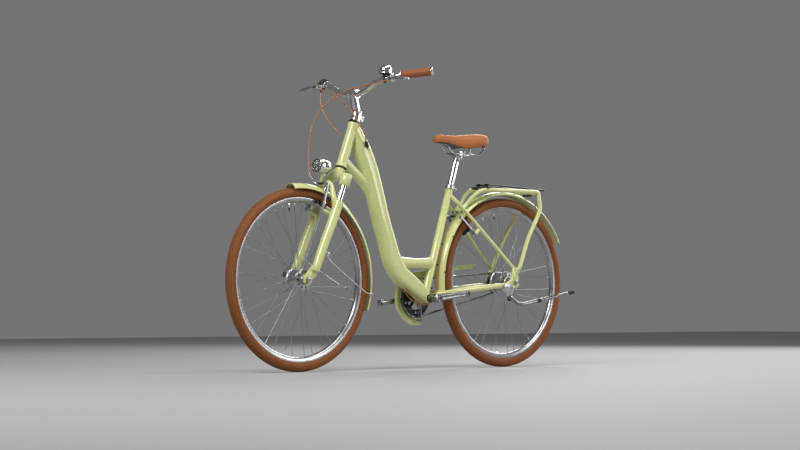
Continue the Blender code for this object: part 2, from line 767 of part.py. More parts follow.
def seatstay_bridge_frame():
    """The middle of the bridge between the seatstays, its way out, and its way forward."""
    reach = REAR_GUARD_RADIUS + GUARD_THICKNESS / 2 + GAP + 0.011
    outward = polar(Vector((0, 0, 0)), 1, seatstay_angle(reach) - BRIDGE_FORWARD_ANGLE)
    return REAR_AXLE + outward * reach, outward, Vector((outward.z, 0, -outward.x))


def seatstay_bridge():
    centre, outward, along = seatstay_bridge_frame()
    return box("bridge", centre, (0.012, 0.074, 0.022), along, outward)


def chainstay_bridge():
    guard = REAR_GUARD_RADIUS + GUARD_THICKNESS / 2 + GAP
    centre = polar(REAR_AXLE, guard + BRIDGE_RADIUS, -6.0)
    return rod("bridge", centre - SIDE * 0.038, centre + SIDE * 0.038, BRIDGE_RADIUS, steps=12)


def make_frame():
    shell = BRACKET_SHELL_HALF
    shapes = [
        main_tube(),
        rod("head_tube", head(0, 0, 0), head(0, 0, HEAD_LENGTH), HEAD_RADIUS - 0.001,
            HEAD_RADIUS + 0.001, 16),
        tube("gusset", [head(-0.002, 0, 0.027), head(-0.030, 0, 0.0210), head(-0.088, 0, 0.005),
                        head(-0.150, 0, -0.012)], GUSSET_RADIUS, resolution=2),
        rod("brace", seat(0.0, 0, BRACE_HEIGHT / SEAT_UP.z),
            BRACKET + Vector((0.165, 0, BRACE_HEIGHT)), BRACE_RADIUS, steps=12),
        rod("seat_tube", seat(0, 0, -0.004), seat(0, 0, SEAT_TUBE_LENGTH),
            SEAT_TUBE_RADIUS + 0.0007, SEAT_TUBE_RADIUS - 0.0012, 12),
        rod("bracket_shell", BRACKET - SIDE * shell, BRACKET + SIDE * shell,
            BRACKET_SHELL_RADIUS, steps=14),
        seatstay_bridge(),
        chainstay_bridge(),
    ]
    pivot, _, pin = rear_brake_frame()
    for side in (-1, 1):
        shapes.append(chainstay(side))
        shapes.append(tube("seatstay", seatstay_points(side), SEATSTAY_RADIUS))
        shapes.append(rear_dropout(side))
        shapes += brake_boss(pivot, pin, side, 0.036)
    bracket_bore = BRACKET_BODY_RADIUS + GAP
    cuts = [
        rod("head_bore", head(0, 0, -0.01), head(0, 0, HEAD_LENGTH + 0.01),
            HEAD_RADIUS - HEAD_WALL, steps=HEADSET_STEPS),
        rod("seat_bore", seat(0, 0, 0.26), seat(0, 0, SEAT_TUBE_LENGTH + 0.01),
            SEATPOST_RADIUS + GAP, steps=12),
        rod("bracket_bore", BRACKET - SIDE * (shell + 0.01), BRACKET + SIDE * (shell + 0.01),
            bracket_bore, steps=14),
    ]
    for side in (-1, 1):
        cuts += dropout_slot(side)
    cuts += cable_channels()
    piece("frame", PAINT, shapes, cuts)


def make_headset():
    bore = HEAD_RADIUS - HEAD_WALL - GAP
    inner = bore_for(STEERER_RADIUS, HEADSET_STEPS)
    lower = [(inner, -0.005), (HEAD_RADIUS + 0.001, -0.005), (HEAD_RADIUS + 0.001, -GAP),
             (bore, -GAP), (bore, 0.012), (inner, 0.012)]
    upper = [(inner, 0.012), (HEAD_RADIUS + 0.0025, 0.006), (HEAD_RADIUS + 0.0025, GAP),
             (bore, GAP), (bore, -0.012), (inner, -0.012)]
    piece("headset_lower_cup", BLACK_METAL,
          [turned("cup", lower, head(0, 0, 0), HEAD_UP, HEADSET_STEPS, True)])
    piece("headset_upper_cup", BLACK_METAL,
          [turned("cup", upper, head(0, 0, HEAD_LENGTH), HEAD_UP, HEADSET_STEPS, True)])


def make_seat_clamp():
    bore = SEAT_TUBE_RADIUS - 0.0012 + 0.0004
    low, high = SEAT_TUBE_LENGTH - 0.014, SEAT_TUBE_LENGTH - 0.0005
    ring = sleeve("ring", seat(0, 0, low), seat(0, 0, high), bore + 0.0035, bore, 12)
    ears = box("ears", seat(-bore - 0.007, 0, (low + high) / 2), (0.011, 0.014, high - low - 0.001),
               SEAT_FORWARD, SEAT_UP)
    bolt = rod("bolt", seat(-bore - 0.0085, -0.013, (low + high) / 2),
               seat(-bore - 0.0085, 0.013, (low + high) / 2), 0.0042, steps=10)
    piece("seat_clamp", SATIN, [ring, ears, bolt])


def guard_shell(name, axle, radius, depth, start, end, steps):
    """A curved mudguard: an open section turned part of the way round, with a thickness."""
    half = [(radius - depth, GUARD_HALF_WIDTH), (radius - 0.28 * depth, 0.76 * GUARD_HALF_WIDTH),
            (radius, 0.34 * GUARD_HALF_WIDTH)]
    section = both_sides(half)
    mesh = bpy.data.meshes.new(name)
    mesh.from_pydata([(r, 0, y) for r, y in section],
                     [(i, i + 1) for i in range(len(section) - 1)], [])
    obj = link(name, mesh)
    screw = obj.modifiers.new("Turn", "SCREW")
    screw.axis = "Z"
    screw.angle = math.radians(end - start)
    screw.steps = steps
    screw.render_steps = steps
    wall = obj.modifiers.new("Wall", "SOLIDIFY")
    wall.thickness = GUARD_THICKNESS
    wall.offset = 0
    across = polar(Vector((0, 0, 0)), 1, start)
    turn = Matrix((across, (-SIDE).cross(across), -SIDE)).transposed()
    obj.matrix_world = Matrix.Translation(axle) @ turn.to_4x4()
    return baked(obj)


def make_rear_mudguard():
    guard = guard_shell("guard", REAR_AXLE, REAR_GUARD_RADIUS, 0.014, -6.5, 152.4, 20)
    piece("rear_mudguard", PAINT, [guard])


def crown():
    """The fork crown: a beam that arches from lug to lug below the head tube."""
    heights = [(-STANCHION_Y, -0.056, 0.015), (-0.035, -0.047, 0.014), (0, -0.040, 0.0145),
               (0.035, -0.047, 0.014), (STANCHION_Y, -0.056, 0.015)]
    sections = [oval(head(STANCHION_U * abs(y) / STANCHION_Y, y, s), HEAD_UP, half, 0.0195, 10, 2.6,
                     HEAD_FORWARD)
                for y, s, half in heights]
    return loft("crown", sections)


def make_fork_upper():
    shapes = [
        crown(),
        rod("crown_race", head(0, 0, -0.050), head(0, 0, -0.005 - GAP), CROWN_RADIUS, 0.019, 14),
        rod("steerer", head(0, 0, -0.045), head(0, 0, STEM_BASE + STEM_BASE_HEIGHT - 0.006),
            STEERER_RADIUS, steps=HEADSET_STEPS),
    ]
    for side in (-1, 1):
        y = side * STANCHION_Y
        shapes.append(rod("lug", head(STANCHION_U, y, -0.085), head(STANCHION_U, y, -0.037),
                          CROWN_RADIUS, steps=12))
        shapes.append(rod("stanchion", head(STANCHION_U, y, STANCHION_END),
                          head(STANCHION_U, y, -0.06), STANCHION_RADIUS, steps=10))
    piece("fork_upper", PAINT, shapes)


def fork_leg(side):
    stations = [(0.008, LEG_TOP, LEG_RADIUS), (0.009, -0.200, LEG_RADIUS),
                (0.0105, -0.250, LEG_RADIUS), (0.0165, -0.317, LEG_RADIUS - 0.001),
                (0.0205, -0.425, LEG_RADIUS - 0.002), (0.0215, -0.449, LEG_RADIUS - 0.005)]
    points = [head(u, side * STANCHION_Y, s) for u, s, _ in stations]
    return tube("leg", points, LEG_RADIUS, [radius for _, _, radius in stations], 2)


def front_dropout(side):
    outline = [(-0.030, 0.066), (-0.004, 0.066), (0.010, 0.032), (0.0195, 0.013), (0.0195, -0.006),
               (0.012, -0.018), (-0.012, -0.018), (-0.0185, -0.008), (-0.021, 0.010),
               (-0.032, 0.024), (-0.033, 0.040)]
    middle = side * (FRONT_DROPOUT_Y + FRONT_DROPOUT_THICKNESS / 2)
    return plate("dropout", outline, FRONT_AXLE + SIDE * middle, HEAD_FORWARD, HEAD_UP,
                 FRONT_DROPOUT_THICKNESS)


def front_slot(side):
    middle = side * (FRONT_DROPOUT_Y + FRONT_DROPOUT_THICKNESS / 2)
    width = 2 * (FRONT_AXLE_RADIUS + 0.0004)
    centre = FRONT_AXLE + SIDE * middle
    slot = box("slot", centre - HEAD_UP * 0.015, (width, 0.012, 0.030), HEAD_FORWARD, HEAD_UP)
    end = rod("slot_end", centre - SIDE * 0.006, centre + SIDE * 0.006, width / 2, steps=8)
    return [slot, end]


def arch():
    half = [(0.014, 0.060, -0.180), (0.028, 0.056, -0.155), (0.039, 0.046, -0.125),
            (0.0425, 0.030, -0.098), (0.043, 0.012, -0.086)]
    route = [*half, *[(u, -y, s) for u, y, s in reversed(half)]]
    radii = [0.013, 0.012, 0.010, ARCH_RADIUS, ARCH_RADIUS]
    return tube("arch", [head(*place) for place in route], ARCH_RADIUS,
                [*radii, *reversed(radii)])


def make_fork_lowers():
    pivot, _, pin = front_brake_frame()
    shapes = [fork_leg(1), fork_leg(-1), arch()]
    cuts = []
    for side in (-1, 1):
        shapes.append(front_dropout(side))
        shapes += brake_boss(pivot, pin, side, 0.052)
        shapes.append(stay_eye(side))
        cuts += front_slot(side)
        y = side * STANCHION_Y
        cuts.append(rod("bore", head(STANCHION_U, y, LEG_TOP + 0.01),
                        head(STANCHION_U, y, STANCHION_END - FORK_TRAVEL - 0.003),
                        STANCHION_RADIUS + GAP, steps=10))
    piece("fork_lowers", PAINT, shapes, cuts)


def stay_anchor(side):
    return head(-0.0085, side * 0.068, -0.3617)


def stay_eye(side):
    """The small eye behind a fork leg that holds the mudguard's wire."""
    centre = stay_anchor(side) + HEAD_FORWARD * 0.0080 - SIDE * side * 0.003
    return box("eye", centre, (0.026, 0.006, 0.009), HEAD_FORWARD, HEAD_UP)


def make_front_mudguard():
    guard = guard_shell("guard", FRONT_AXLE, FRONT_GUARD_RADIUS, 0.021, 83, 199, 16)
    top = FRONT_GUARD_RADIUS - AXLE_TO_HEAD
    low, high = top - 0.001, top + 0.036
    rear_of_arch = 0.043 - ARCH_RADIUS - GAP
    tab = box("tab", head(rear_of_arch - 0.002, 0, (low + high) / 2),
              (0.004, 0.018, high - low), HEAD_FORWARD, HEAD_UP)
    piece("front_mudguard", PAINT, [guard, tab])


def make_front_stay():
    """One wire from the left leg, round the outside of the mudguard, to the right leg."""
    wire = 0.002
    edge = GUARD_HALF_WIDTH + GUARD_THICKNESS / 2 + GAP + wire + 0.0004
    crown_radius = FRONT_GUARD_RADIUS + GUARD_THICKNESS / 2 + GAP + wire + 0.0006
    half = [
        stay_anchor(1) + SIDE * (wire + GAP),
        stay_anchor(1) + SIDE * (wire + GAP) + head(-0.0215, 0, -0.024) - HEAD_FOOT,
        polar(FRONT_AXLE, 0.300, 187.5, 0.043),
        polar(FRONT_AXLE, FRONT_GUARD_RADIUS - 0.023, 188.5, edge),
        polar(FRONT_AXLE, FRONT_GUARD_RADIUS - 0.011, 188.5, edge - 0.0005),
        polar(FRONT_AXLE, crown_radius - 0.004, 188.5, 0.0250),
        polar(FRONT_AXLE, crown_radius, 188.5, 0.0130),
    ]
    route = [*half, *[mirrored(point) for point in reversed(half)]]
    piece("front_mudguard_stay", STEEL, [tube("wire", route, wire, resolution=1)])


def make_headlamp():
    rear = LAMP_REAR
    rim, length = LAMP_RADIUS, LAMP_LENGTH
    profile = [(0, 0), (0.012, 0.001), (0.020, 0.010), (0.0265, 0.035), (rim, 0.060),
               (rim, length), (rim - 0.0022, length), (rim - 0.0022, length - 0.012),
               (0, length - 0.012)]
    body = turned("lamp", profile, rear, (1, 0, 0), 16)
    foot = head(0.043 + ARCH_RADIUS + GAP + 0.0007, 0, -0.088)
    top = LAMP_REAR + Vector((0.042, 0, 0.008 - LAMP_RADIUS))
    middle = (foot + top) / 2
    strap = box("strap", middle, ((top - foot).length, 0.016, 0.003), top - foot, HEAD_FORWARD)
    piece("headlamp", POLISHED, [body, strap])
    glass = rim - 0.0022 - GAP
    lens = [(0, length - 0.012 + GAP), (glass, length - 0.012 + GAP), (glass, length - 0.002),
            (glass * 0.5, length + 0.001), (0, length + 0.002)]
    piece("headlamp_lens", CLEAR, [turned("lens", lens, rear, (1, 0, 0), 16)])


def bar_place(x, y, z):
    """A point given from the handlebar's middle."""
    return head(STEM_FORWARD, 0, STEM_RISE) + Vector((x, y, z))


BAR_CURVE = [(0, 0.030, 0.001), (0.002, 0.070, 0.010), (0.003, 0.103, 0.025), (0, 0.130, 0.037)]
BAR_BENDS = [(-0.010, 0.158, 0.046), (-0.025, 0.185, 0.053), (-0.038, 0.218, 0.060)]
BAR_END = (-0.115, 0.326, 0.074)


def along_bar(start, end, distance, side=1):
    """A point a distance along a straight stretch of the handlebar."""
    first, last = bar_place(*start), bar_place(*end)
    return sided(first + (last - first).normalized() * distance, side)


def bar_clamp_station(distance, side):
    """A point on the straight stretch that holds the brake perch and shifter body."""
    return along_bar(BAR_BENDS[1], BAR_BENDS[2], distance, side)


def grip_station(distance, side):
    return along_bar(BAR_BENDS[2], BAR_END, distance, side)


def make_handlebar():
    curved = smooth_path([bar_place(*p) for p in BAR_CURVE], 0.018)
    half = [*curved, *[bar_place(*p) for p in [*BAR_BENDS, BAR_END]]]
    centre = [bar_place(0, 0.024, 0)]
    radii = [CLAMP_RADIUS] + [BAR_RADIUS] * len(half)
    side = [*centre, *half]
    route = [*[mirrored(p) for p in reversed(side)], *side]
    piece("handlebar", SATIN, [tube("bar", route, BAR_RADIUS, [*reversed(radii), *radii], 2)])


def make_stem():
    bar = bar_place(0, 0, 0)
    low, high = STEM_BASE, STEM_BASE + STEM_BASE_HEIGHT
    bore_top = STEM_BASE + STEM_BASE_HEIGHT - 0.005
    shapes = [
        rod("base", head(0, 0, low), head(0, 0, high), 0.0195, 0.0185, 14),
        rod("neck", head(0.004, 0, high - 0.016), bar - HEAD_UP * 0.006, 0.0165, 0.0125, 12),
        rod("clamp", bar - SIDE * 0.022, bar + SIDE * 0.022, 0.0185, steps=12),
        box("ears", head(-0.025, 0, low + 0.020), (0.020, 0.018, 0.026), HEAD_FORWARD, HEAD_UP),
        rod("bolt", head(-0.030, -0.0125, low + 0.020), head(-0.030, 0.0125, low + 0.020), 0.005,
            steps=10),
    ]
    cuts = [
        rod("steerer_bore", head(0, 0, low - 0.01), head(0, 0, bore_top), STEERER_RADIUS + GAP,
            steps=HEADSET_STEPS),
        rod("bar_bore", bar - SIDE * 0.03, bar + SIDE * 0.03, bore_for(CLAMP_RADIUS, 12),
            steps=12),
    ]
    piece("stem", POLISHED, shapes, cuts)


def grip_profile(start):
    length = (bar_place(*BAR_END) - bar_place(*BAR_BENDS[2])).length
    bore = bore_for(BAR_RADIUS, 12)
    end = length + 0.004
    swell = [(GRIP_RADIUS - 0.0015, start), (GRIP_RADIUS + 0.0005, start + 0.006),
             (GRIP_RADIUS - 0.0005, (start + end) / 2), (GRIP_RADIUS + 0.0006, end - 0.010),
             (GRIP_RADIUS + 0.0016, end - 0.003), (GRIP_RADIUS - 0.002, end)]
    return [(0, length + GAP), (bore, length + GAP), (bore, start), *swell, (0, end)]


def make_grips():
    length = (bar_place(*BAR_END) - bar_place(*BAR_BENDS[2])).length
    left_start = length - GRIP_LENGTH
    for word, side, start in (("left", 1, left_start),
                              ("right", -1, left_start + TWIST_LENGTH + RUNNING_GAP)):
        base = grip_station(0, side)
        grip = turned("grip", grip_profile(start), base, grip_station(1, side) - base, 12)
        piece("grip_" + word, BROWN_RUBBER, [grip])


def make_shifter():
    base, tip = grip_station(0, -1), grip_station(1, -1)
    length = (bar_place(*BAR_END) - bar_place(*BAR_BENDS[2])).length
    start = length - GRIP_LENGTH - RUNNING_GAP
    end = start + TWIST_LENGTH
    bore = bore_for(BAR_RADIUS, 14, RUNNING_GAP)
    profile = [(bore, start), (TWIST_RADIUS - 0.001, start), (TWIST_RADIUS, start + 0.010),
               (TWIST_RADIUS - 0.003, end - 0.012), (GRIP_RADIUS + 0.002, end), (bore, end)]
    twist = turned("twist", profile, base, tip - base, 14, True)
    piece("shifter_grip", BLACK_PLASTIC, [twist], pivot=base)
    inner, outer = bar_clamp_station(0.0205, -1), bar_clamp_station(0.0325, -1)
    shell = sleeve("shell", inner, outer, 0.020, bore_for(BAR_RADIUS, 14), 14)
    stub = rod("stub", SHIFT_CABLE_ROOT - SHIFT_STUB_DIRECTION * 0.0260, SHIFT_CABLE_ROOT, 0.0050,
               steps=10)
    piece("shifter_body", BLACK_PLASTIC, [shell, stub])


def lever_pivot(side):
    return sided(bar_clamp_station(0.0095, 1) + Vector((0.036, 0.020, -0.009)), side)


def cable_mouth(side):
    """Where a brake cable's housing meets its lever's perch."""
    return sided(lever_pivot(1) + Vector((-0.004, -0.021, -0.006)), side)


def make_perch(word, side):
    inner, outer = bar_clamp_station(0.002, side), bar_clamp_station(0.017, side)
    ring_centre = (inner + outer) / 2
    pivot = lever_pivot(side)
    reach = Vector((pivot.x - ring_centre.x, pivot.y - ring_centre.y, 0)).normalized()
    arm_start = ring_centre + (pivot - ring_centre).normalized() * 0.013
    shapes = [
        sleeve("ring", inner, outer, 0.0155, bore_for(BAR_RADIUS, 12), 12),
        rod("arm", arm_start, pivot - reach * 0.012, 0.008, 0.0082, 10),
        box("ears", pivot - reach * 0.007, (0.021, 0.0165, 0.0175), reach, UP),
        rod("knuckle", pivot - UP * 0.00875, pivot + UP * 0.00875, 0.0085, steps=12),
        rod("barrel", cable_mouth(side) - cable_start(side) * 0.015, cable_mouth(side), 0.0048,
            steps=10),
    ]
    outward = SIDE * side
    slot = box("slot", pivot + outward * 0.010 + Vector((0.004, 0, 0)), (0.030, 0.038, 0.0093),
               (1, 0, 0), UP)
    piece("brake_perch_" + word, BLACK_METAL, shapes, [slot])


def make_lever(word, side):
    pivot = lever_pivot(side)
    route = [(0.0045, 0.0135, 0), (0.007, 0.030, -0.002), (0.0065, 0.055, -0.004),
             (0.004, 0.080, -0.006), (-0.001, 0.100, -0.008), (-0.003, 0.107, -0.008)]
    radii = [0.0046, 0.0055, 0.0056, 0.0054, 0.0062, 0.0045]
    points = [pivot + sided(Vector(place), side) for place in route]
    shapes = [
        rod("eye", pivot - UP * 0.0042, pivot + UP * 0.0042, 0.0078, steps=12),
        box("neck", pivot + sided(Vector((0.0025, 0.0080, 0)), side), (0.016, 0.011, 0.0084),
            sided(Vector((0.25, 1, 0)), side), UP),
        tube("blade", points, 0.0055, radii),
    ]
    piece("brake_lever_" + word, SATIN, shapes, pivot=pivot)


def bell_base():
    return along_bar(BAR_BENDS[0], BAR_BENDS[1], 0.009)


def make_bell():
    foot = bell_base()
    along = (bar_place(*BAR_BENDS[1]) - bar_place(*BAR_BENDS[0])).normalized()
    ring = sleeve("ring", foot - along * 0.0055, foot + along * 0.0055, 0.0155,
                  bore_for(BAR_RADIUS, 12))
    post_foot = Vector((foot.x, foot.y, foot.z + 0.0135))
    dome_foot = Vector((foot.x, foot.y, foot.z + 0.0245))
    reach, height = BELL_RADIUS, BELL_HEIGHT - 0.004
    outer = [(0, height), (0.45 * reach, 0.95 * height), (0.80 * reach, 0.72 * height),
             (0.98 * reach, 0.33 * height), (reach, 0)]
    wall = 0.0014
    inner = [(reach - wall, 0), (0.98 * reach - wall, 0.32 * height),
             (0.80 * reach - wall, 0.69 * height), (0.44 * reach, 0.90 * height),
             (0, height - wall)]
    dome = turned("dome", [*outer, *inner], dome_foot, UP, 14)
    disc = rod("disc", post_foot + UP * 0.006, post_foot + UP * 0.0085, 0.020, steps=12)
    post = rod("post", post_foot + UP * 0.0002, dome_foot + UP * (height - 0.0005), 0.004, steps=8)
    piece("bell", POLISHED, [ring, disc, post, dome])
    eye_low, eye_high = post_foot + UP * 0.0022, post_foot + UP * (0.006 - GAP)
    eye = sleeve("eye", eye_low, eye_high, 0.0085, 0.004 + 2 * GAP, 10)
    middle = (eye_low + eye_high) / 2
    arm = box("arm", middle + Vector((-0.020, 0.006, 0)), (0.026, 0.008, 0.003),
              (-1, 0.3, 0), UP)
    thumb = rod("thumb", middle + Vector((-0.0335, 0.010, -0.002)),
                middle + Vector((-0.0335, 0.010, 0.006)), 0.0055, steps=8)
    piece("bell_lever", BLACK_PLASTIC, [eye, arm, thumb], pivot=dome_foot)


def pitch_radius(teeth):
    return CHAIN_PITCH / (2 * math.sin(math.pi / teeth))


def toothed_outline(teeth):
    """A zigzag outline: one point at each tooth's tip and one at each root."""
    tip = pitch_radius(teeth) + 0.0003
    root = pitch_radius(teeth) - 0.0046
    outline = []
    for index in range(2 * teeth):
        angle = math.pi * index / teeth
        radius = tip if index % 2 == 0 else root
        outline.append((radius * math.cos(angle), radius * math.sin(angle)))
    return outline


def toothed_disc(name, centre, teeth):
    return plate(name, toothed_outline(teeth), centre, (1, 0, 0), UP, 2 * TOOTH_HALF)


def make_chainring():
    centre = BRACKET - SIDE * CHAINLINE
    hole = rod("hole", centre - SIDE * 0.01, centre + SIDE * 0.01, 0.046, steps=16)
    piece("chainring", SATIN, [toothed_disc("ring", centre, RING_TEETH)], [hole], pivot=BRACKET)


def make_sprocket():
    centre = REAR_AXLE - SIDE * CHAINLINE
    disc = toothed_disc("sprocket", centre, SPROCKET_TEETH)
    boss = rod("boss", REAR_AXLE - SIDE * (REAR_HUB_HALF + GAP),
               REAR_AXLE - SIDE * (CHAINLINE + SPROCKET_BOSS), 0.018, steps=12)
    bore = rod("bore", REAR_AXLE - SIDE * 0.03, REAR_AXLE - SIDE * 0.06,
               REAR_AXLE_RADIUS + RUNNING_GAP, steps=12)
    piece("rear_sprocket", STEEL, [disc, boss], [bore], pivot=REAR_AXLE)


def chain_stations():
    """(place, outward) round the chain's pitch line: two arcs and the two runs between them."""
    front, rear = pitch_radius(RING_TEETH), pitch_radius(SPROCKET_TEETH)
    line = REAR_AXLE - BRACKET
    lean = math.atan2(line.z, line.x)
    spread = math.acos((front - rear) / line.length)
    stations = []
    for centre, radius, start, end, count in (
        (BRACKET, front, lean - spread, lean + spread - 2 * math.pi, 15),
        (REAR_AXLE, rear, lean + spread, lean - spread, 9),
    ):
        for index in range(count):
            angle = start + (end - start) * index / (count - 1)
            outward = Vector((math.cos(angle), 0, math.sin(angle)))
            stations.append((centre + outward * radius - SIDE * CHAINLINE, outward))
    return stations


def with_runs(stations, spacing):
    """The stations with more of them along each straight run."""
    filled = []
    for (place, outward), (after, after_outward) in zip(stations, [*stations[1:], stations[0]]):
        count = max(1, round((after - place).length / spacing))
        for step in range(count):
            share = step / count
            filled.append((place.lerp(after, share), outward.lerp(after_outward, share).normalized()))
    return filled


def make_chain():
    """A closed channel round both toothed wheels, whose teeth run in its slot."""
    wide, slot = CHAIN_HALF_WIDTH, TOOTH_HALF + 0.0004
    top, low, floor = CHAIN_HALF_HEIGHT, -CHAIN_HALF_HEIGHT, 0.0012
    section = [(top, wide), (top, -wide), (low, -wide), (low, -slot), (floor, -slot),
               (floor, slot), (low, slot), (low, wide)]
    work = bmesh.new()
    rings = []
    for place, outward in with_runs(chain_stations(), 0.12):
        rings.append([work.verts.new(place + outward * rise + SIDE * y) for rise, y in section])
    for near, far in zip(rings, [*rings[1:], rings[0]]):
        for i, point in enumerate(near):
            j = (i + 1) % len(near)
            work.faces.new((point, near[j], far[j], far[i]))
    bmesh.ops.recalc_face_normals(work, faces=work.faces)
    mesh = bpy.data.meshes.new("chain")
    work.to_mesh(mesh)
    work.free()
    piece("chain", STEEL, [link("chain", mesh)])


def make_bracket_bearing():
    bore = SPINDLE_RADIUS + RUNNING_GAP
    shell, flange = BRACKET_SHELL_HALF, 0.0195
    profile = [(bore, -0.0410), (flange, -0.0410), (flange, -shell - 0.0026),
               (BRACKET_BODY_RADIUS, -shell - 0.0026), (BRACKET_BODY_RADIUS, shell + GAP),
               (flange, shell + GAP), (flange, 0.0390), (bore, 0.0390)]
    piece("bottom_bracket", STEEL, [turned("cartridge", profile, BRACKET, SIDE, 14, True)])


def crank_direction(side):
    angle = math.radians(CRANK_ANGLE)
    return Vector((math.cos(angle), 0, math.sin(angle))) * -side


def crank_shapes(side):
    """A crank's boss, arm and pedal eye; the arm leans outward from boss to eye."""
    along = crank_direction(side)
    thick = along.cross(SIDE).normalized()
    inner = 0.0395 if side > 0 else CHAINLINE + TOOTH_HALF + GAP
    outer = CRANK_OUTER_Y - 0.002
    boss = rod("boss", BRACKET + SIDE * side * (inner + 0.001), BRACKET + SIDE * side * outer,
               0.019, steps=14)
    stations = [(0.008, 0.0725, 0.0145, 0.0090), (0.060, 0.0750, 0.0130, 0.0078),
                (0.120, 0.0770, 0.0112, 0.0074), (CRANK_LENGTH, 0.0780, 0.0105, 0.0068)]
    sections = [oval(BRACKET + along * reach + SIDE * side * y, thick, half, deep, 8, 3.0)
                for reach, y, half, deep in stations]
    eye_centre = BRACKET + along * CRANK_LENGTH
    eye = rod("eye", eye_centre + SIDE * side * (CRANK_OUTER_Y - 0.014),
              eye_centre + SIDE * side * CRANK_OUTER_Y, 0.0125, steps=14)
    return [boss, loft("arm", sections), eye]


def crank_cuts(side):
    eye_centre = BRACKET + crank_direction(side) * CRANK_LENGTH
    return [
        rod("thread", eye_centre + SIDE * side * 0.06, eye_centre + SIDE * side * 0.10, 0.0068,
            steps=10),
        rod("spindle_bore", BRACKET, BRACKET + SIDE * side * (CRANK_OUTER_Y - 0.006),
            SPINDLE_RADIUS + GAP, steps=12),
    ]


def spider():
    arms = []
    for index in range(5):
        arms.append(polar(BRACKET, 1, 72 * index + 18) - BRACKET)
    middle = CHAINLINE + TOOTH_HALF + GAP + 0.003
    return [box("arm", BRACKET + out * 0.0325 - SIDE * middle, (0.051, 0.013, 0.006), out, SIDE)
            for out in [Vector((arm.x, 0, arm.z)) for arm in arms]]


def make_cranks():
    piece("crank_left", POLISHED, crank_shapes(1), crank_cuts(1), pivot=BRACKET)
    piece("crank_right", POLISHED, [*crank_shapes(-1), *spider()], crank_cuts(-1), pivot=BRACKET)
    half = CRANK_OUTER_Y - 0.006 - GAP
    piece("crank_spindle", STEEL,
          [rod("spindle", BRACKET - SIDE * half, BRACKET + SIDE * half, SPINDLE_RADIUS)],
          pivot=BRACKET)


def guard_stations():
    """The chain guard's (inner, outer) edge pairs: round the hoop, then back along the upper run."""
    stations = []
    for degrees in range(-106, 91, 14):
        stations.append((polar(BRACKET, HOOP_INNER, degrees), polar(BRACKET, HOOP_OUTER, degrees)))
    for x, low, high in ((-0.058, 0.087, 0.1145), (-0.140, 0.100, 0.1245), (-0.221, 0.116, 0.135),
                         (-0.348, 0.127, 0.143)):
        stations.append((BRACKET + Vector((x, 0, low)), BRACKET + Vector((x, 0, high))))
    return stations


def make_chain_guard():
    plate_y, inner_y = GUARD_PLATE_Y, GUARD_PLATE_Y + GUARD_PLATE_THICKNESS
    sections = []
    for inner, outer in guard_stations():
        inward = (inner - outer).normalized() * GUARD_PLATE_THICKNESS
        sections.append([inner + SIDE * plate_y, outer + SIDE * plate_y,
                         outer + SIDE * GUARD_LIP_Y, outer + inward + SIDE * GUARD_LIP_Y,
                         outer + inward + SIDE * inner_y, inner + SIDE * inner_y])
    cover = loft("cover", sections)
    low = BRACKET_SHELL_HALF + GAP
    ring = sleeve("ring", BRACKET - SIDE * low, BRACKET - SIDE * (low + 0.002), 0.0225,
                  BRACKET_BODY_RADIUS + GAP, 14)
    down = (polar(BRACKET, 1, -102) - BRACKET).normalized()
    arm = box("arm", BRACKET + down * 0.0585 - SIDE * (low + 0.001), (0.077, 0.002, 0.014), down,
              SIDE)
    post = rod("post", BRACKET + down * 0.0915 - SIDE * (low + 0.0005),
               BRACKET + down * 0.0915 - SIDE * 0.0625, 0.004, steps=10)
    piece("chain_guard", PAINT, [cover, ring, arm, post])


def make_stand():
    hinge, axis = STAND_HINGE, STAND_AXIS
    start = REAR_DROPOUT_Y - 0.0015 + CHAINSTAY_RADIUS - 0.0015 + GAP
    outline = [(-0.026, 0.052), (0.026, 0.058), (0.030, 0.040), (0.013, 0.004), (0.006, -0.012),
               (-0.007, -0.012), (-0.013, 0.004), (-0.030, 0.036)]
    side_plate = plate("plate", outline, Vector((hinge.x, start + 0.002, hinge.z)), (1, 0, 0), UP,
                       0.004)
    shapes = [
        side_plate,
        rod("disc", hinge - axis * 0.0155, hinge - axis * (STAND_EYE_HALF + GAP), STAND_EYE_RADIUS,
            steps=12),
        rod("pin", hinge - axis * 0.008, hinge + axis * 0.008, 0.004, steps=12),
        rod("head", hinge + axis * (STAND_EYE_HALF + GAP), hinge + axis * 0.0102, 0.0075, steps=12),
    ]
    piece("kickstand_bracket", PAINT, shapes)
    route = [(-0.006, 0.0015, -0.0045), (-0.018, 0.0045, -0.0135), (-0.052, 0.007, -0.027),
             (-0.080, 0.009, -0.025), (-0.357, 0.027, 0.026)]
    points = [hinge + Vector(place) for place in route]
    leg = tube("leg", points, STAND_RADIUS, [0.0050, 0.0070, 0.0078, 0.0070, 0.0062])
    eye = rod("eye", hinge - axis * STAND_EYE_HALF, hinge + axis * STAND_EYE_HALF,
              STAND_EYE_RADIUS, steps=12)
    hole = rod("hole", hinge - axis * 0.02, hinge + axis * 0.02, 0.004 + GAP, steps=12)
    piece("kickstand_leg", STEEL, [eye, leg], [hole], pivot=hinge)


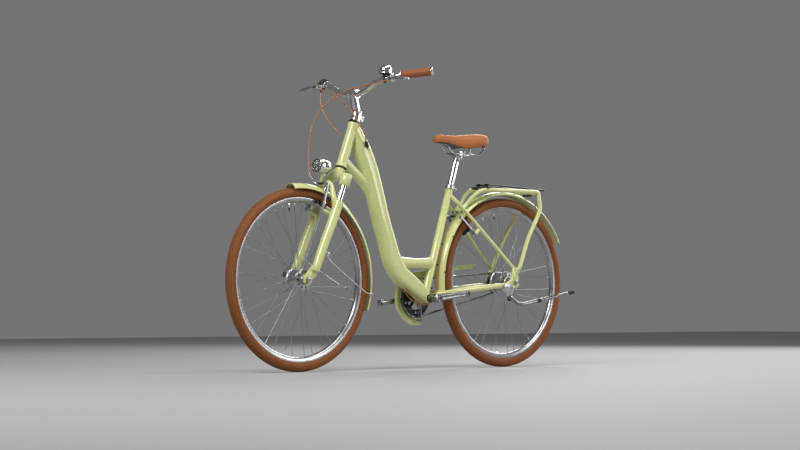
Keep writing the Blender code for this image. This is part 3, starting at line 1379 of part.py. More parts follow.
def make_brake_arm(name, frame, side):
    """A V-brake arm with its pad: an upright lever on a pin, with a pad post through it."""
    pivot, up, pin = frame
    centre = pivot + SIDE * side * BRAKE_PIVOT_Y
    inward = SIDE * -side
    length = BRAKE_ARM_LENGTH
    inner_low, inner_high = 0.0080, 0.0115
    outline = [*arc((0, 0), 0.0095, 200, 340, 4), (inner_low, 0.030), (inner_low, 0.088),
               (inner_high, length), (0.0015, length), (-0.0015, 0.088), (-0.0055, 0.050),
               (-0.0090, 0.020)]
    arm = plate("arm", outline, centre, inward, up, 2 * BRAKE_ARM_HALF)
    pad_rise = PAD_RADIUS - BRAKE_PIVOT_RADIUS
    pad_face = RIM_HALF_WIDTH + PAD_CLEARANCE
    pad_centre = pivot + up * pad_rise
    pad = box("pad", pad_centre + SIDE * side * (pad_face + 0.004), (PAD_LENGTH, 0.008, 0.009),
              pin, SIDE)
    post = rod("post", pad_centre + SIDE * side * (pad_face + 0.006),
               pad_centre + SIDE * side * 0.056, 0.003, steps=8)
    cup = rod("cup", pad_centre + SIDE * side * (pad_face + 0.0075),
              pad_centre + SIDE * side * 0.037, 0.0058, steps=8)
    nut = rod("nut", pad_centre + SIDE * side * 0.048, pad_centre + SIDE * side * 0.053, 0.005,
              steps=6)
    hole = rod("hole", centre - pin * 0.02, centre + pin * 0.02, BRAKE_PIN_RADIUS + GAP, steps=8)
    piece(name, SATIN, [arm, pad, post, cup, nut], [hole], pivot=centre)


def make_brakes():
    for end, frame in (("front", front_brake_frame()), ("rear", rear_brake_frame())):
        for word, side in (("left", 1), ("right", -1)):
            make_brake_arm(f"{end}_brake_arm_{word}", frame, side)


# The saddle's stations from the rear: (forward, half width, top, skirt, base)
SADDLE_STATIONS = [
    (0.000, 0.048, 0.0480, 0.0330, 0.0390),
    (0.008, 0.070, 0.0545, 0.0260, 0.0390),
    (0.035, 0.0845, 0.0560, 0.0160, 0.0360),
    (0.075, 0.0815, 0.0520, 0.0060, 0.0300),
    (0.115, 0.0600, 0.0470, 0.0000, 0.0260),
    (0.150, 0.0390, 0.0455, 0.0060, 0.0280),
    (0.195, 0.0275, 0.0480, 0.0170, 0.0320),
    (0.230, 0.0225, 0.0500, 0.0210, 0.0340),
    (0.248, 0.0160, 0.0475, 0.0250, 0.0340),
    (0.255, 0.0080, 0.0420, 0.0300, 0.0350),
]


def saddle_origin():
    """The point below the saddle's rear edge, level with its lowest skirt."""
    return seat(-0.1085, 0, 0.6860)


def saddle_stations(spacing):
    """The stations, made closer on a smooth curve; each holds width, top, skirt and base."""
    first = smooth_path([(x, width, top) for x, width, top, _, _ in SADDLE_STATIONS], spacing)
    second = smooth_path([(x, skirt, base) for x, _, _, skirt, base in SADDLE_STATIONS], spacing)
    rows = []
    for x, width, top in first:
        share = min(range(len(second) - 1), key=lambda i: abs(second[i][0] - x))
        nearer = second[share]
        following = second[share + 1] if x >= nearer[0] else second[max(share - 1, 0)]
        span = following[0] - nearer[0]
        blend = 0 if abs(span) < 1e-9 else (x - nearer[0]) / span
        rows.append((x, width, top, *[nearer[k] + (following[k] - nearer[k]) * blend
                                      for k in (1, 2)]))
    return rows


def make_saddle_cover():
    origin = saddle_origin()
    sections = []
    for x, width, top, skirt, base in saddle_stations(0.014):
        crown = top - skirt
        half = [(0.00, top), (0.40, top - 0.02 * crown), (0.70, top - 0.09 * crown),
                (0.90, top - 0.27 * crown), (1.00, skirt + 0.40 * crown),
                (0.985, skirt + 0.12 * crown), (0.93, skirt), (0.87, skirt + 0.05 * crown),
                (0.84, base + GAP), (0.00, base + GAP)]
        ring = [origin + Vector((x, y * width, z)) for y, z in half]
        ring += [origin + Vector((x, -y * width, z)) for y, z in reversed(half[1:-1])]
        sections.append(ring)
    piece("saddle_cover", SADDLE_BROWN, [loft("cover", sections)])


def rail_route():
    """Half of the saddle's wire, from its rear end to the middle of its front loop."""
    origin = saddle_origin()
    half = [(0.010, 0.040, 0.0050), (0.010, 0.040, -0.0060), (0.026, 0.030, -0.0235),
            (0.055, RAIL_Y + 0.001, -0.0250), (0.090, RAIL_Y, -0.0250), (0.163, RAIL_Y, -0.0250),
            (0.180, 0.0205, -0.0140), (0.194, 0.0160, 0.0060), (0.203, 0.0070, 0.0135)]
    return [origin + Vector(place) for place in half]


def make_saddle_base():
    origin = saddle_origin()
    sections = []
    for x, width, _, _, base in saddle_stations(0.034)[1:-1]:
        edge, thick, base = 0.80 * width, 0.0045, base - 0.0008
        ring = [(0, base), (edge * 0.6, base), (edge, base), (edge, base - thick),
                (edge * 0.6, base - thick), (0, base - thick)]
        points = [origin + Vector((x, y, z)) for y, z in ring]
        points += [origin + Vector((x, -y, z)) for y, z in (ring[4], ring[3], ring[2], ring[1])]
        sections.append(points)
    shapes = [loft("base", sections)]
    for side in (-1, 1):
        rail_end = sided(rail_route()[0], side)
        shapes.append(rod("boss", rail_end + UP * GAP, rail_end + UP * 0.032, 0.008, steps=12))
    front = origin + Vector((0.205, 0, 0.0135 + RAIL_RADIUS + GAP))
    shapes.append(rod("nose_boss", front, front + UP * 0.014, 0.009, steps=12))
    piece("saddle_base", BLACK_PLASTIC, shapes)


def make_saddle_rails():
    half = rail_route()
    route = [*half, *[mirrored(point) for point in reversed(half)]]
    piece("saddle_rails", STEEL, [tube("wire", route, RAIL_RADIUS)])


def make_seatpost():
    rail_height = saddle_origin().z - 0.0250
    head_centre = seat(0, 0, 0.621)
    low = rail_height - 0.0125
    block = box("block", Vector((head_centre.x, 0, (low + rail_height + 0.011) / 2)),
                (0.034, 0.060, rail_height + 0.011 - low))
    shaft = rod("shaft", seat(0, 0, 0.360), seat(0, 0, 0.613), SEATPOST_RADIUS, steps=12)
    knuckle = rod("knuckle", Vector((head_centre.x, -0.020, low)),
                  Vector((head_centre.x, 0.020, low)), 0.014, steps=12)
    holes = [rod("hole", Vector((head_centre.x - 0.03, side * RAIL_Y, rail_height)),
                 Vector((head_centre.x + 0.03, side * RAIL_Y, rail_height)),
                 RAIL_RADIUS + GAP, steps=8) for side in (-1, 1)]
    piece("seatpost", POLISHED, [shaft, knuckle, block], holes)


def make_saddle():
    make_seatpost()
    make_saddle_rails()
    make_saddle_base()
    make_saddle_cover()


def rack_place(x, y, rise):
    """A point on the rack, given from the rear axle, with its height from the deck's middle."""
    return REAR_AXLE + Vector((x, y, RACK_RISE + rise))


def rack_rail():
    """One rail from its foot on the seatstay bridge, along the deck, to the middle of the rear."""
    bridge, _, along = seatstay_bridge_frame()
    foot = bridge - along * (0.006 + GAP)
    side, high = RACK_HALF_WIDTH, 0.0
    route = [foot + SIDE * 0.018, foot - along * 0.040 + SIDE * 0.018]
    route += [rack_place(*place) for place in (
        (0.2000, 0.027, -0.030), (0.1625, 0.035, -0.0055), (0.1225, 0.044, high),
        (0.0625, 0.054, high), (-0.0375, side, high), (-0.150, side, high),
        (-0.1655, side - 0.009, high), (-0.1725, side - 0.026, high))]
    return route


def rack_strut(side):
    outer = REAR_DROPOUT_Y + REAR_DROPOUT_THICKNESS + GAP + RACK_TUBE_RADIUS
    places = [rack_place(-0.158, RACK_HALF_WIDTH + 0.001, -0.003), rack_place(-0.160, 0.0665, -0.076),
              REAR_AXLE + Vector((-0.0815, 0.0715, 0.181)),
              REAR_AXLE + Vector((-0.0225, outer - 0.001, 0.062)),
              REAR_AXLE + Vector((-0.0065, outer, 0.039))]
    return tube("strut", [sided(place, side) for place in places], RACK_TUBE_RADIUS)


def rack_tab(side):
    outline = [*arc((0, 0), 0.0115, 180, 360, 6), (0.009, 0.052), (-0.018, 0.052)]
    middle = REAR_DROPOUT_Y + REAR_DROPOUT_THICKNESS + GAP + RACK_TAB_THICKNESS / 2
    return plate("tab", outline, REAR_AXLE + SIDE * side * middle, (1, 0, 0), UP,
                 RACK_TAB_THICKNESS)


def make_rack():
    half = rack_rail()
    route = [*half, *[mirrored(point) for point in reversed(half)]]
    shapes = [tube("rail", route, RACK_TUBE_RADIUS)]
    cuts = []
    for side in (-1, 1):
        shapes.append(rack_strut(side))
        shapes.append(rack_tab(side))
        ear = rack_place(CLIP_X, side * 0.021, 0.020)
        shapes.append(box("ear", ear, (0.014, 0.006, 0.022)))
        middle = REAR_AXLE + SIDE * side * 0.075
        cuts.append(rod("hole", middle - SIDE * 0.01, middle + SIDE * 0.01,
                        REAR_AXLE_RADIUS + GAP, steps=12))
    shapes.append(box("block", rack_place(CLIP_X, 0, 0.011), (0.046, 0.100, 0.007)))
    for x in (0.010, -0.080):
        shapes.append(rod("bar", rack_place(x, -0.0575, 0.0035), rack_place(x, 0.0575, 0.0035),
                          0.004, steps=8))
    cuts.append(rod("ear_hole", rack_place(CLIP_X, -0.03, CLIP_RISE),
                    rack_place(CLIP_X, 0.03, CLIP_RISE), CLIP_WIRE + GAP, steps=8))
    piece("rear_rack", PAINT, shapes, cuts)


def make_rack_clip():
    rest = RACK_TUBE_RADIUS + CLIP_WIRE + GAP
    half = [(CLIP_X, 0.034, CLIP_RISE), (0.060, 0.034, CLIP_RISE - 0.001),
            (-0.1725, 0.031, rest), (-0.225, 0.030, rest), (-0.2425, 0.018, rest)]
    places = [rack_place(*place) for place in half]
    route = [*places, *[mirrored(point) for point in reversed(places)]]
    pin = rod("pin", rack_place(CLIP_X, -0.034, CLIP_RISE), rack_place(CLIP_X, 0.034, CLIP_RISE),
              CLIP_WIRE, steps=8)
    piece("rack_clip", BLACK_METAL, [tube("bail", route, CLIP_WIRE), pin],
          pivot=rack_place(CLIP_X, 0, CLIP_RISE))


# Cable routes, in the order that the cables run. The upper ones are given from the foot of the
# head tube, and the lower ones from the bottom bracket.
FRONT_CABLE = [
    (-0.0505, 0.1500, 0.3240), (-0.0495, 0.1150, 0.3210), (-0.0485, 0.0700, 0.3160),
    (-0.0285, 0.0200, 0.3080), (-0.0215, 0.0000, 0.2990), (0.0005, -0.0350, 0.2800),
    (0.0395, -0.0700, 0.2330), (0.0635, -0.0780, 0.1960), (0.0855, -0.0800, 0.1470),
    (0.1025, -0.0750, 0.0670), (0.1135, -0.0600, -0.0060), (0.1160, -0.0540, -0.0330),
]
REAR_CABLE_UPPER = [
    (-0.0475, -0.1700, 0.3200), (-0.0545, -0.0970, 0.2910), (-0.0565, -0.0460, 0.2580),
    (-0.0535, 0.0030, 0.2240), (-0.0545, 0.0290, 0.1900), (-0.0715, 0.0400, 0.1570),
    (-0.0865, 0.0420, 0.1360), (-0.0975, 0.0390, 0.1150), (-0.1095, 0.0320, 0.0880),
    (-0.1415, 0.0150, 0.0350), (-0.1745, 0.0100, -0.0750),
]
REAR_CABLE_LOWER = [
    (0.2469, 0.0100, 0.3250), (0.2099, 0.0100, 0.2250), (0.1769, 0.0100, 0.1450),
    (0.1189, 0.0110, 0.0500), (0.0869, 0.0120, 0.0150), (0.0619, 0.0110, -0.0060),
    (0.0369, 0.0100, -0.0190), (0.0069, 0.0100, -0.0250), (-0.0211, 0.0100, -0.0220),
    (-0.0431, 0.0100, 0.0000), (-0.0561, 0.0100, 0.0450), (-0.0651, 0.0100, 0.1150),
    (-0.0831, 0.0100, 0.1850), (-0.1056, 0.0080, 0.2550), (-0.1301, -0.0040, 0.3100),
    (-0.1491, -0.0240, 0.3385),
]
SHIFT_CABLE_UPPER = [
    (-0.0565, -0.1880, 0.3030), (-0.0405, -0.1700, 0.2830), (-0.0305, -0.1500, 0.2460),
    (-0.0315, -0.1200, 0.2010), (-0.0445, -0.0800, 0.1550), (-0.0535, -0.0650, 0.1390),
    (-0.0635, -0.0520, 0.1260), (-0.0845, -0.0400, 0.1080), (-0.1095, -0.0280, 0.0850),
    (-0.1415, -0.0150, 0.0350), (-0.1745, -0.0100, -0.0750),
]
SHIFT_CABLE_LOWER = [
    (0.2469, -0.0100, 0.3250), (0.2099, -0.0100, 0.2250), (0.1769, -0.0100, 0.1450),
    (0.1189, -0.0110, 0.0500), (0.0869, -0.0120, 0.0150), (0.0619, -0.0110, -0.0060),
    (0.0369, -0.0120, -0.0190), (0.0069, -0.0160, -0.0250), (-0.0281, -0.0240, -0.0210),
    (-0.0731, -0.0360, -0.0020), (-0.1931, -0.0500, 0.0155), (-0.3131, -0.0580, 0.0310),
    (-0.3931, -0.0620, 0.0405), (-0.4131, -0.0620, 0.0415),
]


def placed(base, offsets):
    return [base + Vector(offset) for offset in offsets]


def cable_start(side):
    """The way that a brake cable leaves its lever's perch."""
    first = FRONT_CABLE[0] if side > 0 else REAR_CABLE_UPPER[0]
    return (HEAD_FOOT + Vector(first) - cable_mouth(side)).normalized()


def front_cable_route():
    top = BRAKE_ARM_LENGTH + GAP + HOUSING_RADIUS
    pivot, up, _ = front_brake_frame()
    level = pivot + up * top
    noodle = [head(0.0800, -0.0440, -0.0885), level + HEAD_FORWARD * 0.004 - SIDE * 0.0345,
              level - SIDE * 0.024, level, level + SIDE * 0.034]
    start = cable_mouth(1) + cable_start(1) * GAP
    return [start, *placed(HEAD_FOOT, FRONT_CABLE), *noodle]


def rear_cable_route():
    pivot, up, _ = rear_brake_frame()
    level = pivot + up * (BRAKE_ARM_LENGTH + GAP + HOUSING_RADIUS)
    noodle = [level + Vector((0.0055, -0.0365, 0.0035)), level - SIDE * 0.026, level,
              level + SIDE * 0.034]
    start = cable_mouth(-1) + cable_start(-1) * GAP
    return [start, *placed(HEAD_FOOT, REAR_CABLE_UPPER), *placed(BRACKET, REAR_CABLE_LOWER),
            *noodle]


def shift_cable_route():
    start = SHIFT_CABLE_ROOT + SHIFT_STUB_DIRECTION * GAP
    bend = SHIFT_CABLE_ROOT + SHIFT_STUB_DIRECTION * 0.010
    return [start, bend, *placed(HEAD_FOOT, SHIFT_CABLE_UPPER),
            *placed(BRACKET, SHIFT_CABLE_LOWER)]


def cable_channels():
    """Round ways through the main tube, each along its own cable's path."""
    channels = []
    for route in (rear_cable_route(), shift_cable_route()):
        path = smooth_path(route, CABLE_SPACING)
        inside = [p for p in path
                  if BRACKET.x + 0.047 < p.x < HEAD_FOOT.x - 0.0765 and p.z < HEAD_FOOT.z + 0.12]
        channels.append(tube("channel", inside, CHANNEL_RADIUS, resolution=1))
    return channels


def make_cables():
    for name, route in (("front_brake_cable", front_cable_route()),
                        ("rear_brake_cable", rear_cable_route()),
                        ("shift_cable", shift_cable_route())):
        path = smooth_path(route, CABLE_SPACING)
        length = sum((b - a).length for a, b in zip(path, path[1:]))
        print(name, "length", round(length, 3), "m, points", len(path))
        piece(name, HOUSING_BROWN, [tube(name, path, HOUSING_RADIUS, resolution=1)])


def main():
    clear_scene()
    make_wheels()
    make_sprocket()
    make_frame()
    make_headset()
    make_seat_clamp()
    make_rear_mudguard()
    make_rack()
    make_rack_clip()
    make_fork_upper()
    make_fork_lowers()
    make_front_mudguard()
    make_front_stay()
    make_headlamp()
    make_handlebar()
    make_stem()
    make_grips()
    make_shifter()
    for word, side in (("left", 1), ("right", -1)):
        make_perch(word, side)
        make_lever(word, side)
    make_bell()
    make_bracket_bearing()
    make_cranks()
    make_chainring()
    make_chain()
    make_chain_guard()
    make_stand()
    make_brakes()
    make_saddle()
    make_cables()


main()
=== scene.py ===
"""A step-through city bike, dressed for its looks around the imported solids.

X runs forward, Y to the rider's left and Z up. The origin lies on the floor, midway between the
axles.
"""

import math

import bmesh
import bpy
from mathutils import Matrix, Vector


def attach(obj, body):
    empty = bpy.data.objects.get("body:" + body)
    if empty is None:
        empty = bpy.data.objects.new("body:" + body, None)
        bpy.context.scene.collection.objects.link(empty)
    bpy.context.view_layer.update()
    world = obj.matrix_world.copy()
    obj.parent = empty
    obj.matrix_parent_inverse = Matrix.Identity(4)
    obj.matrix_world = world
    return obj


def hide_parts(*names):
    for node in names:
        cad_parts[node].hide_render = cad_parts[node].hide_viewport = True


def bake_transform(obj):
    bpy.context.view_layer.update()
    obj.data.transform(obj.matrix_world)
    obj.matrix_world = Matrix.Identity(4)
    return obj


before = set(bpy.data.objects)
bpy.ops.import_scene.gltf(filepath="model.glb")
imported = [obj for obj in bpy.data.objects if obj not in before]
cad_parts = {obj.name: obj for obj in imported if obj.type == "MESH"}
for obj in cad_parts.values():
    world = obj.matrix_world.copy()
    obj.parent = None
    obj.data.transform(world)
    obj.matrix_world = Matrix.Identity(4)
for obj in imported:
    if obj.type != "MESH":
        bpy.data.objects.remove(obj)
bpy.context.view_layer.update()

MM = 0.001
WELD = 0.001
SIDE, UP, AHEAD = Vector((0, 1, 0)), Vector((0, 0, 1)), Vector((1, 0, 0))
BOTH = (-1, 1)
WORDS = {"left": 1, "right": -1}

# Wheels and hubs
BEAD = 311
TYRE_HALF = 21
TYRE_R = BEAD + 2 * TYRE_HALF
RIM_DEPTH = 15
RIM_HALF = 12
FRONT_AXLE = Vector((562.5, 0, TYRE_R))
REAR_AXLE = Vector((-562.5, 0, TYRE_R))
AXLES = {"front": FRONT_AXLE, "rear": REAR_AXLE}
SPOKES_A_SIDE = 18
SPOKE_STEP = 360 / SPOKES_A_SIDE
CROSSINGS = 2
VALVE_ANGLE = 80

# Frame, from the bottom bracket's middle
BRACKET_DROP = 68
CHAINSTAY = 460.6
BRACKET = REAR_AXLE + Vector((math.sqrt(CHAINSTAY**2 - BRACKET_DROP**2), 0, -BRACKET_DROP))


def leaning(degrees):
    """The way up, and the way forward, of a tube that leans back from the given angle."""
    up = Vector((-math.cos(math.radians(degrees)), 0, math.sin(math.radians(degrees))))
    return up, Vector((up.z, 0, -up.x))


HEAD_UP, HEAD_FORWARD = leaning(68.5)
SEAT_UP, SEAT_FORWARD = leaning(72.2)
AXLE_OFFSET = 39
AXLE_TO_HEAD = 490.4
HEAD_FOOT = FRONT_AXLE - HEAD_FORWARD * AXLE_OFFSET + HEAD_UP * AXLE_TO_HEAD
HEAD_LENGTH = 188
SEAT_TUBE_LENGTH = 485
REAR_DROPOUT_Y = 67.5
STANCHION_Y = 60
STANCHION_U = 7
GUARD_HALF = 29
REAR_GUARD_R = 380
FRONT_GUARD_R = 371
BRAKE_PIVOT_R = 283
BRAKE_PIVOT_Y = 43
CHAINLINE = 50
CRANK_LENGTH = 170
BAR_R = 11.1
RACK_RISE = 383
CORD_R = 2.5
CORD_GAP = 0.3


def head(u, y, s):
    """A point in the steering frame: forward of its axis, to the left, and up along it."""
    return HEAD_FOOT + HEAD_FORWARD * u + SIDE * y + HEAD_UP * s


def seat(t, y, s):
    """A point in the seat tube's frame: forward of its axis, to the left, and up along it."""
    return BRACKET + SEAT_FORWARD * t + SIDE * y + SEAT_UP * s


def facing(degrees):
    """A unit way in the bike's plane, turned up from straight ahead."""
    return Vector((math.cos(math.radians(degrees)), 0, math.sin(math.radians(degrees))))


def polar(centre, radius, degrees, y=0):
    return centre + facing(degrees) * radius + SIDE * y


def sided(point, side):
    return Vector((point[0], side * point[1], point[2]))


def both_ways(half):
    """A route through the points of the left half, then back through their mirror images."""
    return [*[Vector(p) for p in half], *[sided(p, -1) for p in reversed(half)]]


def smooth_path(points, spacing):
    """Points about the given spacing apart on a smooth curve through the given points."""
    places = [Vector(point) for point in points]
    ends = [places[0] * 2 - places[1], *places, places[-1] * 2 - places[-2]]
    path = []
    for a, b, c, d in zip(ends, ends[1:], ends[2:], ends[3:]):
        count = max(1, round((c - b).length / spacing))
        for step in range(count):
            t = step / count
            path.append(0.5 * (2 * b + (c - a) * t + (2 * a - 5 * b + 4 * c - d) * t**2
                               + (3 * b - 3 * c + d - a) * t**3))
    return [*path, places[-1]]


def between(rows, far):
    """The measures at a place among the rows, such as 2.5 for halfway from row 2 to row 3."""
    low = min(int(far), len(rows) - 2)
    return [a + (b - a) * (far - low) for a, b in zip(rows[low], rows[low + 1])]


def path_length(path):
    return sum((b - a).length for a, b in zip(path, path[1:]))


def spaced(start, end, count):
    """Numbers spaced evenly from the first to the last."""
    return [start + (end - start) * i / (count - 1) for i in range(count)]


def eased_in(value):
    return min(1, max(0, value))


def arc(centre, radius, start, end, count):
    """Points on an arc of an outline, in degrees."""
    return [(centre[0] + radius * math.cos(a), centre[1] + radius * math.sin(a))
            for a in spaced(math.radians(start), math.radians(end), count)]


def mirrored(half):
    """The other half of a turned profile, from its last point back."""
    return [(r, -y) for r, y in reversed(half)]


def circle(radius, count, centre=(0, 0)):
    return arc(centre, radius, 0, 360 - 360 / count, count)


def superoval(sides, power):
    """A rounded outline of half size one, squarer as its power grows."""
    outline = []
    for index in range(sides):
        angle = 2 * math.pi * (index + 0.5) / sides
        outline.append([math.copysign(abs(share) ** (2 / power), share)
                        for share in (math.cos(angle), math.sin(angle))])
    return outline


def ring(centre, forward, side, depth, width, sides, power):
    return [Vector(centre) + forward * c * depth + side * s * width
            for c, s in superoval(sides, power)]


def placed(origin, x, y, z):
    """Places a shape with its own axes along the three given ways."""
    return Matrix.Translation(origin) @ Matrix((x, y, z)).transposed().to_4x4()


def along_matrix(origin, along):
    """Places a shape so that its Z lies along the given way."""
    z = Vector(along).normalized()
    across = SEAT_FORWARD if abs(z.y) < 0.5 else AHEAD
    x = (across - z * across.dot(z)).normalized()
    return placed(origin, x, z.cross(x), z)


def linked(obj):
    bpy.context.scene.collection.objects.link(obj)
    return obj


def filled_curve(name, dimensions, depth, resolution, outlines, closed, **more):
    """The mesh of a curve with straight stretches, given its bevel's depth, as a shell.

    Each point of an outline is a place and the share of the depth that it has there.
    """
    curve = bpy.data.curves.new(name, "CURVE")
    curve.dimensions = dimensions
    curve.bevel_depth = depth
    curve.bevel_resolution = resolution
    for key, value in more.items():
        setattr(curve, key, value)
    for outline in outlines:
        spline = curve.splines.new("POLY")
        spline.points.add(len(outline) - 1)
        spline.use_cyclic_u = closed
        for point, (place, share) in zip(spline.points, outline):
            point.co = (*place, 1)
            point.radius = share
    guide = bpy.data.objects.new(name, curve)
    mesh = bpy.data.meshes.new_from_object(guide)
    shell = bmesh.new()
    shell.from_mesh(mesh)
    bpy.data.objects.remove(guide)
    bpy.data.meshes.remove(mesh)
    bpy.data.curves.remove(curve)
    return shell


def full_spin(shell, steps):
    bmesh.ops.spin(shell, geom=shell.verts[:] + shell.edges[:], cent=(0, 0, 0), axis=(0, 0, 1),
                   angle=2 * math.pi, steps=steps, use_merge=True)


class Piece:
    """A piece in the making. Each shell that is added gets the finish that was named last."""

    def __init__(self, finish):
        self.work = bmesh.new()
        self.finishes = []
        self.finish(finish)

    def finish(self, finish):
        if finish not in self.finishes:
            self.finishes.append(finish)
        self.index = self.finishes.index(finish)
        return self

    def take(self, shell):
        """Takes in a shell and lets its own mesh go."""
        mesh = bpy.data.meshes.new("shell")
        shell.to_mesh(mesh)
        shell.free()
        self.work.from_mesh(mesh)
        bpy.data.meshes.remove(mesh)
        return self

    def add(self, shell, outward=True):
        """Takes in a shell, closed and with its faces outward, in the present finish."""
        bmesh.ops.remove_doubles(shell, verts=shell.verts, dist=WELD)
        if outward:
            bmesh.ops.recalc_face_normals(shell, faces=shell.faces)
        for face in shell.faces:
            face.material_index = self.index
            face.smooth = True
        return self.take(shell)

    def turned(self, profile, centre, axis, steps=32):
        """A profile of (radius, height) pairs turned round an axis through the centre.

        One that doesn't end on the axis is closed back to its first point.
        """
        shell = bmesh.new()
        points = [shell.verts.new((r, 0, h)) for r, h in profile]
        for a, b in zip(points, points[1:] + (points[:1] if profile[-1][0] else [])):
            if a.co.x or b.co.x:
                shell.edges.new((a, b))
        full_spin(shell, steps)
        shell.transform(along_matrix(centre, axis))
        return self.add(shell)

    def rod(self, start, end, radius, steps=24, edge=0.6):
        """A round bar between two points with softened rims; two radii make it taper."""
        start, end = Vector(start), Vector(end)
        first, last = radius if isinstance(radius, tuple) else (radius, radius)
        length = (end - start).length
        soft = min(edge, first * 0.4, last * 0.4, length * 0.3)
        profile = [(0, 0), (first - soft, 0), (first, soft), (last, length - soft),
                   (last - soft, length), (0, length)]
        return self.turned(profile, start, end - start, steps)

    def pin(self, centre, axis, start, end, radius, steps=24, edge=0.6):
        """A rod along an axis through the centre, between two distances from it."""
        return self.rod(centre + axis * start, centre + axis * end, radius, steps, edge)

    def sleeve(self, start, end, outer, bore, steps=32, edge=0.6):
        start, end = Vector(start), Vector(end)
        length = (end - start).length
        soft = min(edge, length * 0.3, (outer - bore) * 0.4)
        profile = [(bore, 0), (outer - soft, 0), (outer, soft), (outer, length - soft),
                   (outer - soft, length), (bore, length)]
        return self.turned(profile, start, end - start, steps)

    def bolt(self, spot, way, high, radius, socket, steps=24):
        """A bolt's bright round head, with a dark hexagon on it as painted shade for its socket."""
        self.finish(STEEL).rod(spot, spot + way * high, radius, steps)
        # Painted shade: a dark hexagon stands proud of the head where the socket's recess would be.
        self.finish(DARK_METAL).rod(spot + way * (high - 0.4), spot + way * (high + 0.2), socket, 6)
        return self.finish(STEEL)

    def tube(self, points, radius, resolution=4):
        """A round tube through the points, of one radius or with a radius for each point."""
        radii = radius if isinstance(radius, list) else [radius] * len(points)
        outline = [(place, share / radii[0]) for place, share in zip(points, radii)]
        return self.add(filled_curve("tube", "3D", radii[0], resolution, [outline], False,
                                     use_fill_caps=True))

    def box(self, centre, size, forward=AHEAD, up=UP, edge=0.8):
        """A block with bevelled edges; its sizes run along forward, across, and up."""
        shell = bmesh.new()
        first = Vector(forward).normalized()
        middle = Vector(up).cross(first).normalized()
        bmesh.ops.create_cube(shell, size=1, matrix=Matrix.Diagonal((*size, 1)))
        bmesh.ops.bevel(shell, geom=shell.edges[:], offset=min(edge, min(size) * 0.3), segments=2,
                        profile=0.5, affect="EDGES", material=-1)
        shell.transform(placed(centre, first, middle, first.cross(middle)))
        return self.add(shell)

    def plate(self, outline, origin, along, up, thickness, edge=0.6, holes=()):
        """A flat plate from an outline, centred on the plane through the origin, edges bevelled."""
        soft = min(edge, thickness * 0.3)
        outlines = [[((x, y, 0), 1) for x, y in loop] for loop in (outline, *holes)]
        shell = filled_curve("plate", "2D", soft, 1, outlines, True, fill_mode="BOTH",
                             extrude=thickness / 2 - soft, offset=-soft)
        first = Vector(along).normalized()
        third = first.cross(Vector(up)).normalized()
        shell.transform(placed(origin, first, third.cross(first), third))
        return self.add(shell)

    def loft(self, rings):
        """A skin bridged over rings of points, with a face over each end."""
        shell = bmesh.new()
        loops = []
        for outline in rings:
            points = [shell.verts.new(point) for point in outline]
            loops.append([shell.edges.new((a, b)) for a, b in zip(points, points[1:] + points[:1])])
        for near, far in zip(loops, loops[1:]):
            bmesh.ops.bridge_loops(shell, edges=near + far)
        for loop in (loops[0], loops[-1]):
            bmesh.ops.contextual_create(shell, geom=loop)
        return self.add(shell)

    def copies(self, centre, axis, count, build):
        """What build adds to a fresh piece, repeated evenly round an axis."""
        single = Piece(self.finishes[self.index])
        build(single)
        shell = single.work
        bmesh.ops.spin(shell, geom=shell.verts[:] + shell.edges[:] + shell.faces[:], cent=centre,
                       axis=axis, angle=2 * math.pi / count * (count - 1), steps=count - 1,
                       use_duplicate=True)
        for face in shell.faces:
            face.material_index = self.index
        return self.take(shell)

    def node(self, name):
        """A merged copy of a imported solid's own mesh, with its flat stretches made whole."""
        shell = bmesh.new()
        shell.from_mesh(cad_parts[name].data)
        bmesh.ops.scale(shell, vec=[1 / MM] * 3, verts=shell.verts)
        bmesh.ops.remove_doubles(shell, verts=shell.verts, dist=WELD)
        bmesh.ops.dissolve_limit(shell, angle_limit=0.002, verts=shell.verts, edges=shell.edges)
        return self.add(shell, outward=False)

    def done(self, name, body, slot, nodes=(), crease=40):
        """Makes the object, rides it on its body, and lets it stand for the given nodes."""
        mesh = bpy.data.meshes.new(name)
        bmesh.ops.scale(self.work, vec=[MM] * 3, verts=self.work.verts)
        self.work.to_mesh(mesh)
        self.work.free()
        for finish in self.finishes:
            mesh.materials.append(finish)
        obj = linked(bpy.data.objects.new(name, mesh))
        mesh.set_sharp_from_angle(angle=math.radians(crease))
        if body:
            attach(obj, body)
        if nodes:
            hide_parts(*nodes)
        return obj


